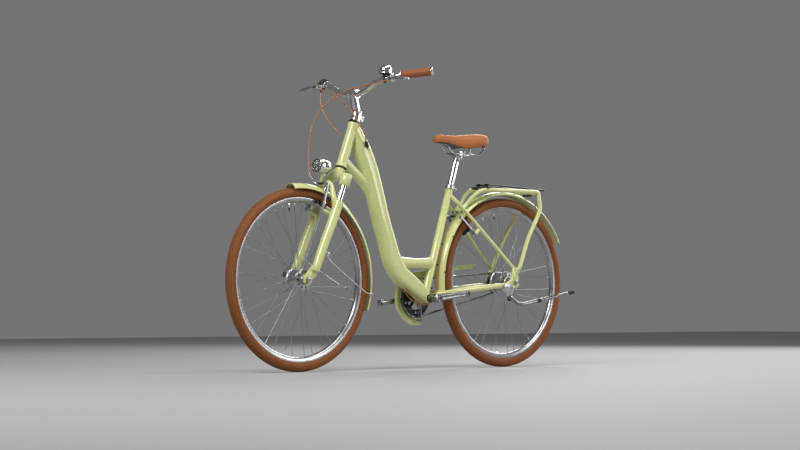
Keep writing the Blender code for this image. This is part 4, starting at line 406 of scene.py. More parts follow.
class Finish:
    """A finish in the making: its shader, and its place on the piece's own coordinates."""

    def __init__(self, name, centre=(0, 0, 0)):
        self.material = bpy.data.materials.new(name)
        self.material.use_nodes = True
        self.tree = self.material.node_tree
        self.shader = self.tree.nodes["Principled BSDF"]
        coords = self.tree.nodes.new("ShaderNodeTexCoord")
        spot = self.node("ShaderNodeMapping", Vector=coords.outputs["Object"])
        spot.inputs["Location"].default_value = [-x * MM for x in centre]
        self.place = spot.outputs["Vector"]

    def node(self, kind, **inputs):
        """A new node, with each named input set or linked."""
        made = self.tree.nodes.new(kind)
        for name, value in inputs.items():
            self.feed(made.inputs[name.replace("_", " ")], value)
        return made

    def feed(self, socket, value):
        if isinstance(value, bpy.types.NodeSocket):
            self.tree.links.new(value, socket)
        else:
            socket.default_value = value

    def set(self, **inputs):
        for name, value in inputs.items():
            self.feed(self.shader.inputs[name.replace("_", " ")], value)
        return self

    def noise(self, scale, detail):
        made = self.node("ShaderNodeTexNoise", Vector=self.place, Scale=scale, Detail=detail,
                         Roughness=0.55)
        return made.outputs[0]

    def cloud(self, scale, detail, *stops):
        """A ramp's colours or greys, in the soft patches of a noise."""
        return self.ramp(self.noise(scale, detail), *stops)

    def rings(self, source, detail):
        """Uneven stripes along a single measure."""
        made = self.tree.nodes.new("ShaderNodeTexNoise")
        made.noise_dimensions = "1D"
        self.feed(made.inputs["W"], source)
        self.feed(made.inputs["Scale"], 1.0)
        self.feed(made.inputs["Detail"], detail)
        return made.outputs[0]

    def reach(self):
        """How far a spot lies from the finish's centre, seen along Y."""
        flat = self.node("ShaderNodeVectorMath", Vector=self.place)
        flat.operation = "MULTIPLY"
        flat.inputs[1].default_value = (1, 0, 1)
        reach = self.tree.nodes.new("ShaderNodeVectorMath")
        reach.operation = "LENGTH"
        self.feed(reach.inputs[0], flat.outputs[0])
        return reach.outputs["Value"]

    def cells(self, scale, feature="F1"):
        made = self.node("ShaderNodeTexVoronoi", Vector=self.place, Scale=scale)
        made.feature = feature
        return made.outputs["Distance"]

    def ramp(self, source, *stops):
        """A colour or a grey for each stop's share of the source."""
        made = self.node("ShaderNodeValToRGB", Fac=source)
        band = made.color_ramp
        while len(band.elements) < len(stops):
            band.elements.new(0.5)
        for mark, (share, colour) in zip(band.elements, stops):
            mark.position = share
            if isinstance(colour, (int, float)):
                colour = (colour, colour, colour)
            mark.color = (*colour, 1)
        return made.outputs["Color"]

    def math(self, operation, a, b):
        made = self.tree.nodes.new("ShaderNodeMath")
        made.operation = operation
        self.feed(made.inputs[0], a)
        self.feed(made.inputs[1], b)
        return made.outputs[0]

    def mix(self, share, a, b):
        made = self.tree.nodes.new("ShaderNodeMix")
        made.data_type = "RGBA"
        for index, value in ((0, share), (6, a), (7, b)):
            self.feed(made.inputs[index], value)
        return made.outputs[2]

    def bump(self, *layers):
        """Relief from (height, strength, distance) layers, one on another; ends the finish."""
        normal = None
        for height, strength, distance in layers:
            made = self.node("ShaderNodeBump", Height=height, Strength=strength, Distance=distance)
            if normal is not None:
                self.feed(made.inputs["Normal"], normal)
            normal = made.outputs["Normal"]
        self.feed(self.shader.inputs["Normal"], normal)
        return self.material


def srgb(red, green, blue):
    """A colour given on the usual 0 to 255 scale, made linear."""
    def linear(value):
        share = value / 255
        return share / 12.92 if share <= 0.04045 else ((share + 0.055) / 1.055) ** 2.4
    return (linear(red), linear(green), linear(blue))


def paler(colour, lift, floor):
    return tuple(min(1.0, c * lift + floor) for c in colour)


def paint_finish():
    made = Finish("lime_paint")
    tint = made.cloud(3.0, 2.0, (0.30, srgb(211, 214, 147)), (0.70, srgb(207, 210, 141)))
    made.set(Base_Color=tint, Roughness=made.cloud(40.0, 5.0, (0.35, 0.24), (0.70, 0.33)),
             Coat_Weight=0.55, Coat_Roughness=0.06, Specular_IOR_Level=0.5)
    return made.bump((made.noise(700.0, 2.0), 0.05, 0.0002))


def metal_finish(name, dark, light, rough, grain, scale=60.0):
    """Bare metal, with soft cloudiness and a fine grain."""
    made = Finish(name)
    made.set(Base_Color=made.cloud(scale, 6.0, (0.30, dark), (0.70, light)), Metallic=1.0,
             Roughness=made.cloud(scale * 2.2, 6.0, (0.30, rough[0]), (0.72, rough[1])))
    return made.bump((made.noise(scale * 22, 2.0), grain, 0.0001))


def spun_finish(name, dark, light, rough, centre):
    """Metal that was turned round an axle, with fine rings of grain."""
    made = Finish(name, centre)
    rings = made.rings(made.math("MULTIPLY", made.reach(), 2600.0), 3.0)
    made.set(Base_Color=made.cloud(30.0, 5.0, (0.3, dark), (0.7, light)), Metallic=1.0,
             Roughness=made.ramp(rings, (0.3, rough[0]), (0.7, rough[1])))
    return made.bump((rings, 0.10, 0.0001))


def plastic_finish(name, colour, rough, relief=0.15, scale=900.0, lift=1.35):
    """Moulded plastic, with an even, fine texture."""
    made = Finish(name)
    made.set(Base_Color=made.cloud(25.0, 5.0, (0.3, colour), (0.75, paler(colour, lift, 0.003))),
             Roughness=made.cloud(120.0, 4.0, (0.3, rough), (0.7, rough + 0.12)))
    return made.bump((made.noise(scale, 3.0), relief, 0.0002))


def tyre_finish(name, axle):
    """Brown rubber with fine ribs round the side, a pale band low on it, and a tread darker in
    patches.
    """
    made = Finish(name, axle)
    rise = made.math("DIVIDE", made.math("SUBTRACT", made.reach(), BEAD * MM), 2 * TYRE_HALF * MM)
    brown, deep = srgb(134, 77, 34), srgb(123, 70, 30)
    pale, tread_dark_tone = (*srgb(150, 112, 84), 1), (*srgb(104, 62, 38), 1)
    rubber = made.cloud(90.0, 6.0, (0.28, deep), (0.66, brown))
    band = made.ramp(rise, (0.66, 0), (0.672, 1), (0.690, 1), (0.702, 0))
    banded = made.mix(made.math("MULTIPLY", band, 0.5), rubber, pale)
    tread = made.ramp(rise, (0.86, 0), (0.93, 1))
    patches = made.cloud(160.0, 5.0, (0.35, 0.15), (0.7, 0.6))
    # The tread is darkened in patches towards a deeper brown.
    tread_darkened = made.mix(made.math("MULTIPLY", tread, patches), banded, tread_dark_tone)
    ribs = made.rings(made.math("MULTIPLY", rise, 60.0), 1.0)
    made.set(Base_Color=tread_darkened, Specular_IOR_Level=0.35,
             Roughness=made.cloud(80.0, 5.0, (0.3, 0.62), (0.7, 0.82)))
    return made.bump((ribs, 0.25, 0.0004), (made.noise(1400.0, 3.0), 0.25, 0.0003))


def hide_finish(name, deep, light, scale, rough):
    """Grained hide, or what is moulded to look like it: cells with creases between them, darkened
    in the creases with painted shade.
    """
    made = Finish(name)
    creases = made.ramp(made.cells(scale, "DISTANCE_TO_EDGE"), (0.02, 0), (0.16, 1))
    # Painted shade: the creases are darkened towards a deep brown.
    crease_shade = made.math("MULTIPLY", made.math("SUBTRACT", 1.0, creases), 0.35)
    made.set(Base_Color=made.mix(crease_shade, made.cloud(18.0, 6.0, (0.28, deep), (0.70, light)),
                                 (*[c * 0.45 for c in deep], 1)),
             Roughness=made.cloud(60.0, 5.0, (0.3, rough), (0.7, rough + 0.14)),
             Specular_IOR_Level=0.35)
    return made.bump((creases, 0.22, 0.0004), (made.noise(scale * 2.5, 3.0), 0.2, 0.0003))


def rubber_finish(name, colour):
    made = Finish(name)
    made.set(Base_Color=made.cloud(70.0, 6.0, (0.3, colour), (0.75, paler(colour, 1.6, 0.01))),
             Roughness=made.cloud(200.0, 4.0, (0.3, 0.68), (0.7, 0.85)))
    return made.bump((made.noise(1600.0, 3.0), 0.25, 0.0002))


def bell_finish():
    """Bright plating with a loose pattern of dark lines painted in, as painted reflections of dark
    surroundings.
    """
    made = Finish("bell_plating")
    # Painted reflection: dark lines in the base colour stand for the dark surroundings mirrored in
    # the dome.
    painted_reflection_lines = made.cloud(75.0, 1.0, (0.36, 0.84), (0.40, 0.05), (0.44, 0.84), (0.53, 0.84),
                       (0.57, 0.05), (0.61, 0.84))
    made.set(Base_Color=painted_reflection_lines, Metallic=1.0,
             Roughness=made.cloud(90.0, 4.0, (0.3, 0.05), (0.7, 0.13)))
    return made.bump((made.noise(600.0, 2.0), 0.03, 0.0001))


def glass_finish():
    """Clear moulded glass with a faint unevenness inside."""
    made = Finish("lamp_glass")
    made.set(Base_Color=(0.97, 0.98, 1.0, 1), Transmission_Weight=1.0, IOR=1.49,
             Roughness=made.cloud(90.0, 3.0, (0.3, 0.02), (0.7, 0.07)))
    return made.bump((made.cells(190.0), 0.9, 0.0030))


PAINT = paint_finish()
TYRE = {end: tyre_finish(f"{end}_tyre_rubber", axle) for end, axle in AXLES.items()}
RIM = {end: spun_finish(f"{end}_rim_metal", (0.33, 0.33, 0.34), (0.46, 0.46, 0.47),
                        (0.20, 0.34), axle) for end, axle in AXLES.items()}
POLISHED, CHROME, SATIN, SPOKE, STEEL, ALLOY, CHAIN_STEEL, DARK_METAL = [
    metal_finish(*row) for row in (
        ("polished_metal", (0.62, 0.62, 0.63), (0.76, 0.76, 0.77), (0.10, 0.22), 0.04),
        ("chrome", (0.70, 0.70, 0.71), (0.86, 0.86, 0.86), (0.03, 0.09), 0.02),
        ("satin_metal", (0.40, 0.40, 0.41), (0.56, 0.56, 0.57), (0.28, 0.42), 0.12),
        ("spoke_wire", (0.20, 0.20, 0.205), (0.30, 0.30, 0.305), (0.34, 0.48), 0.05),
        ("plain_steel", (0.42, 0.42, 0.43), (0.60, 0.60, 0.60), (0.20, 0.34), 0.05),
        ("forged_alloy", (0.21, 0.21, 0.215), (0.33, 0.33, 0.335), (0.16, 0.28), 0.05),
        ("oiled_chain_steel", (0.10, 0.095, 0.09), (0.26, 0.25, 0.24), (0.26, 0.44), 0.15),
        ("black_metal", (0.020, 0.020, 0.021), (0.055, 0.055, 0.057), (0.28, 0.42), 0.10))]
BLACK = plastic_finish("black_plastic", (0.014, 0.014, 0.015), 0.38)
RUBBER = rubber_finish("black_rubber", (0.018, 0.018, 0.018))
SADDLE = hide_finish("saddle_hide", srgb(176, 106, 56), srgb(184, 112, 60), 620.0, 0.46)
GRIP = hide_finish("grip_hide", srgb(150, 83, 42), srgb(160, 89, 46), 760.0, 0.46)
THREAD = rubber_finish("seam_thread", srgb(146, 84, 44))
HOUSING = plastic_finish("brown_housing", srgb(152, 101, 60), 0.36, 0.08)
BELL = bell_finish()
GLASS = glass_finish()
REFLECTOR = plastic_finish("red_reflector", (0.42, 0.012, 0.010), 0.12, 0.3, 400.0)
FLOOR = plastic_finish("pale_floor", (0.37, 0.37, 0.367), 0.66, 0.008, 60.0, 1.06)


# Each tread row's edges, in degrees from the crown, with their depth below the tyre's round
TREAD = ((0, 0.6), (11, 0.6), (13, 0), (27, 0), (29, 0.4), (44, 0.4))
TREAD_STEPS = 216


def tyre_section():
    """The tyre's outline from its crown to its bead, as (radius, half width) pairs."""
    centre = BEAD + TYRE_HALF
    points = []
    for lean, depth in TREAD:
        turn, reach = math.radians(lean), TYRE_HALF - depth
        points.append((centre + reach * math.cos(turn), reach * math.sin(turn)))
    return points + arc((centre, 0), TYRE_HALF, 52, 124, 8)


def make_tyre(end, axle, body):
    """A tyre with raised tread blocks in five rows, and its bead tucked in the rim."""
    half = tyre_section()
    outer = [*half, (BEAD + 6.2, 11.6), (BEAD, 9.4)]
    profile = [*outer, *mirrored(outer[1:])]
    made = Piece(TYRE[end])
    shell = bmesh.new()
    points = [shell.verts.new((r, 0, y)) for r, y in profile]
    for a, b in zip(points, points[1:] + points[:1]):
        shell.edges.new((a, b))
    full_spin(shell, TREAD_STEPS)
    bmesh.ops.remove_doubles(shell, verts=shell.verts, dist=WELD)
    bmesh.ops.recalc_face_normals(shell, faces=shell.faces)
    centre_row, side_rows = [], []
    for face in shell.faces:
        middle = face.calc_center_median()
        lean = math.degrees(math.atan2(abs(middle.z), math.hypot(middle.x, middle.y)
                                       - BEAD - TYRE_HALF))
        turn = math.degrees(math.atan2(middle.y, middle.x)) % 360
        slot = int(turn / (360 / TREAD_STEPS))
        if 13 < lean < 27:
            centre_row.append(face)
        elif 29 < lean < 44 and (slot + (1 if middle.z > 0 else 0)) % 2 == 0:
            side_rows.append(face)
        elif lean < 11 and slot % 3 != 0:
            side_rows.append(face)
    bmesh.ops.inset_individual(shell, faces=centre_row, thickness=0.9, depth=0.4)
    bmesh.ops.inset_individual(shell, faces=side_rows, thickness=0.9, depth=0.5)
    shell.transform(along_matrix(axle, SIDE))
    made.add(shell)
    made.done(end + "_tyre_cover", body, "tyre_rubber", [end + "_tyre"], crease=30)


def make_rim(end, axle, body):
    lip = BEAD + 6
    half = [(lip, RIM_HALF - 1.2), (lip, RIM_HALF - 0.4), (lip - 0.6, RIM_HALF),
            (BEAD - 7.8, RIM_HALF), (BEAD - 9, RIM_HALF - 0.6), (BEAD - 11.5, RIM_HALF - 2.2),
            (BEAD - RIM_DEPTH + 0.6, RIM_HALF - 6.8), (BEAD - RIM_DEPTH, RIM_HALF - 8.5)]
    well = [(BEAD - 1, -RIM_HALF + 2), (BEAD - 1, RIM_HALF - 2)]
    profile = [*half, *mirrored(half), *well]
    made = Piece(RIM[end])
    made.turned(profile, axle, SIDE, 180)
    made.finish(POLISHED)
    rim_face = BEAD - RIM_DEPTH
    for side in BOTH:
        foot = polar(axle, rim_face + 1, spoke_offset(side), side * 4)
        tip = polar(axle, rim_face - 12, spoke_offset(side), side * 7.6)
        made.copies(axle, -SIDE, SPOKES_A_SIDE,
                    lambda single, a=foot, b=tip: single.rod(a, b, (1.9, 1.5), 8))
    made.done(end + "_rim_band", body, "polished", [end + "_rim"], crease=28)


def spoke_offset(side):
    """The angle of a side's first spoke at the rim, which keeps clear of the valve."""
    return SPOKE_STEP * (0.25 if side > 0 else 0.75)


def spoke_ends(axle, side, radius, flange_y, lean):
    rim_angle = spoke_offset(side) + (0 if lean > 0 else SPOKE_STEP)
    hub_angle = rim_angle - lean * CROSSINGS * SPOKE_STEP
    return (polar(axle, radius, hub_angle, side * flange_y),
            polar(axle, BEAD - RIM_DEPTH - 4, rim_angle, side * 5.2))


def make_spokes(end, axle, body, radius, flange_y):
    """A wheel's spokes, a piece for each side, each with its bent head through the flange."""
    for word, side in WORDS.items():
        made = Piece(SPOKE)
        for lean in (1, -1):
            start, stop = spoke_ends(axle, side, radius, flange_y, lean)
            inward = -SIDE * side * (6.2 if lean > 0 else 5)
            along = (stop - start).normalized()
            route = [start + inward, start + along * 0.4, start + along * 3.5, stop]

            def one(single, path=route, head_at=start + inward, way=inward):
                single.tube(path, 1, 1)
                out = way.normalized()
                single.rod(head_at - out * 0.2, head_at + out * 1.4, (1.9, 1), 10)

            made.copies(axle, -SIDE, SPOKES_A_SIDE // 2, one)
        made.done(f"{end}_{word}_spokes", body, "steel", [f"{end}_spokes_{word}"])


def make_hub(end, axle, body, half_length, bore, shell_r, flange_r, flange_y, cap):
    """A hub shell between drilled flanges, whose holes are dark discs of painted shade, with its
    end caps and a ring of grooves.
    """
    half = [(bore, half_length), (cap, half_length), (cap + 1, half_length - 1),
            (cap + 2, flange_y + 3.5), (shell_r - 4, flange_y + 1.5),
            (flange_r - 0.6, flange_y + 0.2), (flange_r, flange_y - 0.5),
            (flange_r, flange_y - 2.5), (flange_r - 0.6, flange_y - 3),
            (shell_r + 0.2, flange_y - 5.5), (shell_r - 0.8, flange_y - 8),
            (shell_r - 0.8, flange_y - 12), (shell_r - 0.2, flange_y - 13.5)]
    profile = [*half, *mirrored(half)]
    made = Piece(SATIN)
    made.turned(profile, axle, SIDE, 72)
    made.finish(DARK_METAL)
    for side in BOTH:
        made.turned([(r, side * (half_length + y)) for r, y in (
            (cap - 6, 0.1), (cap - 1.5, 0.1), (cap - 1.5, -2), (cap - 6, -2))], axle, SIDE, 40)
        # Painted shade: dark discs stand for the holes drilled round each flange.
        for index in range(10):
            made.pin(polar(axle, 31, 36 * index, side * (flange_y + 0.6)), SIDE * side, 0, 2.2,
                     4.2, 16)
    made.done(end + "_hub_shell", body, "satin", [end + "_hub"], crease=35)


def nut(made, axle, side, inner, bolt):
    """A flanged hexagon nut with its washer, and the end of the threaded axle standing out."""
    height, radius, tip = 8.5, 8.8, 3.5
    low, high = axle + SIDE * side * inner, axle + SIDE * side * (inner + height)
    made.rod(low, low + SIDE * side * 1.6, radius + 2.4, 32, 0.4)
    made.turned([(0, 0), (radius, 0), (radius, height - 1.2), (radius - 1.2, height),
                 (0, height)], low, SIDE * side, 6)
    made.rod(high, high + SIDE * side * tip, bolt, 20, 1)


def make_axles():
    for end, body, inner, bolt in (("front", "fork_lower_body", 57.3, 4.5),
                                   ("rear", "frame_body", 76.8, 4.8)):
        made = Piece(STEEL).node(end + "_axle")
        for side in BOTH:
            nut(made, AXLES[end], side, inner, bolt)
        made.done(end + "_axle_and_nuts", body, "steel", [end + "_axle"], crease=35)


def make_tube_and_valve(end, axle, body):
    """The air tube inside the tyre, and its valve: a threaded stem, a nut and a cap."""
    made = Piece(RUBBER)
    centre = BEAD + TYRE_HALF
    made.turned(circle(16.5, 12, (centre, 0)), axle, SIDE, 96)
    made.finish(CHROME)

    def at(radius):
        return polar(axle, radius, VALVE_ANGLE)

    made.rod(at(BEAD - 4), at(BEAD - 34), 2.6, 16)
    made.rod(at(BEAD - RIM_DEPTH - 0.2), at(BEAD - RIM_DEPTH - 3.4), 5.2, 6)
    made.finish(BLACK)
    made.rod(at(BEAD - 31), at(BEAD - 44), (3.3, 2.6), 16)
    made.done(end + "_air_tube_and_valve", body, "inner_rubber", [end + "_inner_tube"])


def make_wheels():
    for end, axle in AXLES.items():
        body = end + "_wheel"
        make_tyre(end, axle, body)
        make_rim(end, axle, body)
        make_tube_and_valve(end, axle, body)
    make_spokes("front", FRONT_AXLE, "front_wheel", 38.5, 32.2)
    make_spokes("rear", REAR_AXLE, "rear_wheel", 43, 32.2)
    make_hub("front", FRONT_AXLE, "front_wheel", 45.5, 4.8, 38, 42.5, 30, 17)
    make_hub("rear", REAR_AXLE, "rear_wheel", 36, 5.1, 43, 47, 30, 20)
    make_axles()


MAIN_TUBE_UPPER = [(-4, 176, 16, 19), (-22.5, 160, 26, 23), (-82.7, 102.4, 38, 29),
                   (-132.1, 57.4, 39, 29), (-192.1, -10.3, 38, 29)]
MAIN_TUBE_LOWER = [(245, 323, 38, 29), (207.5, 225, 38, 29), (183.7, 160, 38, 29),
                   (147, 103, 36, 29), (96, 69, 34, 29), (55, 43, 31, 30), (19, 17, 27, 31),
                   (0, 2, 20, 31)]


def lofted_tube(made, stations, sides=36, power=2.8, spacing=12, edged=0.0):
    """A tube of rounded section through (centre, half depth, half width) stations, in the XZ plane.

    With edged above zero, the section gets squarer over the last part.
    """
    centres = [Vector(centre) for centre, _, _ in stations]
    sizes = [size for _, *size in stations]
    path = smooth_path(centres, spacing)
    reach, run = [[path_length(line[:i + 1]) for i in range(len(line))] for line in (centres, path)]
    rings = []
    for index, (place, far) in enumerate(zip(path, run)):
        share = far / run[-1] * reach[-1]
        spot = max(i for i in range(len(reach)) if reach[i] <= share + 1e-9)
        after = min(spot + 1, len(reach) - 1)
        span = reach[after] - reach[spot]
        blend = (share - reach[spot]) / span if span > 1e-9 else 0
        blend = blend * blend * (3 - 2 * blend)
        depth, width = between(sizes, spot + blend)
        along = (path[min(index + 1, len(path) - 1)] - path[max(index - 1, 0)]).normalized()
        squarer = power + edged * eased_in((far / run[-1] - 0.60) / 0.16)
        rings.append(ring(place, along.cross(SIDE), SIDE, depth, width, sides, squarer))
    return made.loft(rings)


# A hair over 12, so that the brace's first stretch of 18 is not cut in two
BRACE_SPACING = 12.01


def seatstay_ends():
    high = seat(-54, 36, SEAT_TUBE_LENGTH - 71.6)
    low = REAR_AXLE + Vector((0.5, REAR_DROPOUT_Y - 1, 59))
    return high, low


def weld(made, centre, axis, radius, bead=1.6):
    """A smooth fillet of weld round a joint."""
    made.turned([(radius - 1, -bead * 1.6), (radius + bead * 0.5, -bead), (radius + bead, 0),
                 (radius + bead * 0.5, bead), (radius - 1, bead * 1.6)], centre, axis, 48)


def chainstay(made, side):
    points = [(-10, 20.5, 5), (-73, 35.5, 18), (-193, 52, 35)]
    places = [BRACKET + sided(point, side) for point in points]
    places.append(sided(REAR_AXLE + Vector((40, REAR_DROPOUT_Y - 1.5, -11)), side))
    heights = [(11,), (12,), (12,), (10,)]
    path = smooth_path(places, 15)
    total = len(path) - 1
    rings = []
    for index, place in enumerate(path):
        height, = between(heights, index / total * (len(heights) - 1))
        along = (path[min(index + 1, total)] - path[max(index - 1, 0)]).normalized()
        across = along.cross(UP).normalized()
        rings.append(ring(place, across.cross(along), across, height, 9, 28, 2.2))
    made.loft(rings)


def rear_dropout(made, side):
    outline = [(50, -20), (50, -2), (34, 4), (22, 12), (14, 32), (10, 64), (-10, 64), (-18, 40),
               (-24, 22), (-26.5, 5.6), (-4, 5.6), *arc((0, 0), 5.6, 90, -90, 8)[1:-1],
               (-26.5, -5.6), (-26, -14), (-20, -20), (-12, -22), (16, -22)]
    made.plate(outline, REAR_AXLE + SIDE * side * 70, AHEAD, UP, 5, edge=0.8)


def outward_frame(degrees, radius):
    """A place out from the rear axle, the way out, and the way across it."""
    out = facing(degrees)
    return REAR_AXLE + out * radius, out, Vector((out.z, 0, -out.x))


# Each brake's pivot, the way up its arms, and the way of its pivot pins
BRAKE_U = 66
PIVOT_RISE = math.sqrt(BRAKE_PIVOT_R**2 - (BRAKE_U - AXLE_OFFSET) ** 2)
BRAKES = {"front": (head(BRAKE_U, 0, PIVOT_RISE - AXLE_TO_HEAD), HEAD_UP, HEAD_FORWARD),
          "rear": outward_frame(43.2, BRAKE_PIVOT_R)}


def brake_boss(made, end, side, depth):
    pivot, _, pin = BRAKES[end]
    centre = pivot + SIDE * side * BRAKE_PIVOT_Y
    face = 5.5
    made.pin(centre, pin, -depth, -face, (8.5, 8), 28)
    made.finish(STEEL)
    made.pin(centre, pin, -7.5, 6.2, 4, 20)
    made.pin(centre, pin, face, face + 3.5, (6.8, 6))
    made.turned([(0, 3.5), (2.6, 3.5), (2.6, 1), (0, 1)], centre + pin * (face + 0.3), pin, 6)
    made.finish(PAINT)


STAY_BRIDGE = outward_frame(48, 392.3)


def make_frame():
    """The painted frame: the great curved tube, its short tubes, stays, bridges and ports."""
    made = Piece(PAINT)
    stations = [(head(u, 0, s), depth, width) for u, s, depth, width in MAIN_TUBE_UPPER]
    stations += [(BRACKET + Vector((x, 0, z)), d, w) for x, z, d, w in MAIN_TUBE_LOWER]
    lofted_tube(made, stations, 56, edged=1.4)
    length = HEAD_LENGTH
    made.turned([(17.2, 0), (22.2, 0), (22.8, 0.8), (22.8, 6), (21.2, 8.5), (20.5, 20),
                 (21.2, length - 20), (23.2, length - 8.5), (23.6, length - 6),
                 (23.6, length - 0.8), (23, length), (17.2, length)], head(0, 0, 0), HEAD_UP, 64)
    gusset = [(head(-2, 0, 27), 20), (head(-30, 0, 21), 20), (head(-88, 0, 5), 20),
              (head(-122, 0, -4.5), 20), (head(-146, 0, -17), 18.5), (Vector((199, 0, 700)), 15),
              (Vector((187, 0, 672)), 11), (Vector((170, 0, 640)), 6)]
    lofted_tube(made, [(place, radius, radius) for place, radius in gusset], 36, 2.0)
    brace = seat(0, 0, 140.5 / SEAT_UP.z)
    lofted_tube(made, [(brace + AHEAD * x, depth, width) for x, depth, width in (
        (0, 26.2, 15), (18, 24.6, 16.4), (34, 22.6, 19),
        (60, 21, 20.6), (100, 20.6, 21), (135, 22, 21.2),
        (160, 25, 21.4), (200, 27, 21.4))], 48, 2.1, BRACE_SPACING)
    made.turned([(13.8, 20), (17.2, 0), (17.2, 30), (15.5, SEAT_TUBE_LENGTH + 3),
                 (15, SEAT_TUBE_LENGTH + 4), (13.8, SEAT_TUBE_LENGTH + 4)], seat(0, 0, -4), SEAT_UP,
                56)
    made.turned([(17.1, -34), (19.5, -34), (20.5, -33), (20.5, 33),
                 (19.5, 34), (17.1, 34)], BRACKET, SIDE, 56)
    centre, outward, along = STAY_BRIDGE
    made.box(centre, (12, 74, 22), along, outward, edge=4.5)
    made.finish(DARK_METAL)
    for across in (-26, 0, 26):
        made.pin(centre + SIDE * across, along, -6.4, 6.4, 5.2)
    made.finish(PAINT)
    made.pin(polar(REAR_AXLE, 387.3, -6), SIDE, -38, 38, 6, 28)
    for side in BOTH:
        chainstay(made, side)
        high, low = seatstay_ends()
        middle = low.lerp(high, 0.512)
        middle.y = 50
        bends = [seat(-3, 12, SEAT_TUBE_LENGTH - 44),
                 seat(-28, 28, SEAT_TUBE_LENGTH - 59.5), high, middle, low]
        stay = smooth_path([sided(point, side) for point in bends], 14)
        made.tube(stay, [8 - 0.8 * i / len(stay) for i in range(len(stay))], 6)
        rear_dropout(made, side)
        brake_boss(made, "rear", side, 36)
    weld(made, seat(0, 0, 24), SEAT_UP, 16.8, 2.2)
    bosses_and_ports(made)
    made.done("painted_frame", "frame_body", "paint", ["frame"], crease=42)


def bosses_and_ports(made):
    """Cable ports, guides and threaded bosses along the frame."""
    made.finish(BLACK)
    for outer, inner in (((249, 38.5, 910), (237, 32, 883)), ((249, -34, 892), (237, -28, 880))):
        outer, inner = Vector(outer), Vector(inner)
        along = (inner - outer).normalized()
        made.tube([outer + along * 10, outer + along * 14, inner + along * 4], [4.5, 6.5, 8.5], 6)
    made.rod(head(-52, 0, -12) + UP * 2, head(-52, 0, -32), 4, 16)
    made.finish(STEEL)
    for place in (205, 275):
        made.pin(seat(-15.5, 0, place), SEAT_FORWARD, 0, -3, 4.5, 20)
    made.finish(PAINT)


def make_headset():
    for name, centre, way in (("headset_upper_cup", head(0, 0, HEAD_LENGTH), HEAD_UP),
                              ("headset_lower_cup", head(0, 0, 0), -HEAD_UP)):
        made = Piece(DARK_METAL)
        deep = 12 if way is HEAD_UP else 5
        made.turned([(14.8, deep), (19.5, deep - 1), (22.8, deep * 0.55),
                     (23.6, deep * 0.40), (23.6, 1), (23, 0.3), (16.8, 0.3),
                     (16.8, -11.8), (14.8, -11.8)], centre, way, 64)
        made.done(name + "_ring", "frame_body", "black_metal", [name])


def make_seat_clamp():
    made = Piece(SATIN)
    bore = 15.7
    low, high = SEAT_TUBE_LENGTH - 14, SEAT_TUBE_LENGTH - 0.5
    made.sleeve(seat(0, 0, low), seat(0, 0, high), bore + 3.8, bore + 0.3, 56, 1)
    middle = (low + high) / 2
    for side in BOTH:
        made.box(seat(-bore - 7, side * 4.5, middle), (11.5, 5.5, high - low - 1),
                 SEAT_FORWARD, SEAT_UP, edge=1.2)
    made.finish(STEEL)
    bolt = -bore - 8.5
    made.pin(seat(bolt, 0, middle), SIDE, -10.5, 12, 4.2)
    made.turned([(0, 1.6), (2.4, 1.6), (2.4, 0), (4, 0), (4, 2.2),
                 (0, 2.2)], seat(bolt, 11.5, middle), SIDE, 24)
    made.done("seat_clamp_ring", "frame_body", "satin", ["seat_clamp"])


def guard(made, axle, radius, depth, start, end, steps):
    """A rolled mudguard: a crowned section with beaded edges, swept part of the way round."""
    half = [(radius - depth, GUARD_HALF - 0.2), (radius - depth + 1, GUARD_HALF + 0.8),
            (radius - depth + 2.2, GUARD_HALF + 0.2), (radius - 0.62 * depth, 0.93 * GUARD_HALF),
            (radius - 0.28 * depth, 0.76 * GUARD_HALF), (radius - 0.09 * depth, 0.55 * GUARD_HALF),
            (radius, 0.30 * GUARD_HALF), (radius + 0.8, 0.05 * GUARD_HALF)]
    outline = [*half, *mirrored(half)]
    shell = bmesh.new()
    points = [shell.verts.new((r, y, 0)) for r, y in outline]
    for a, b in zip(points, points[1:]):
        shell.edges.new((a, b))
    turned = Matrix.Rotation(-math.radians(start), 4, "Y")
    bmesh.ops.transform(shell, matrix=turned, verts=shell.verts)
    bmesh.ops.spin(shell, geom=shell.verts[:] + shell.edges[:], cent=(0, 0, 0), axis=(0, -1, 0),
                   angle=math.radians(end - start), steps=steps)
    bmesh.ops.remove_doubles(shell, verts=shell.verts, dist=WELD)
    bmesh.ops.recalc_face_normals(shell, faces=shell.faces)
    outward = sum(1 if face.normal.dot(face.calc_center_median()) > 0 else -1
                  for face in shell.faces)
    if outward < 0:
        bmesh.ops.reverse_faces(shell, faces=shell.faces)
    bmesh.ops.solidify(shell, geom=shell.faces[:], thickness=1.4)
    shell.transform(Matrix.Translation(axle))
    made.add(shell)


def make_rear_mudguard():
    made = Piece(PAINT)
    guard(made, REAR_AXLE, REAR_GUARD_R, 14, -6.5, 152.4, 90)
    made.finish(STEEL)
    for angle in (48, 112, -4.5):
        made.pin(REAR_AXLE, facing(angle), REAR_GUARD_R - 1, REAR_GUARD_R + 2.8, (4.5, 3.8), 20)
    made.done("rear_guard", "frame_body", "paint", ["rear_mudguard"], crease=50)


def leg(side, s, u=STANCHION_U):
    """A point on a fork leg's line."""
    return head(u, side * STANCHION_Y, s)


def stay_anchor(y):
    """A point across from the front guard's stay eye, low on the legs."""
    return head(-8.5, y, -361.7)


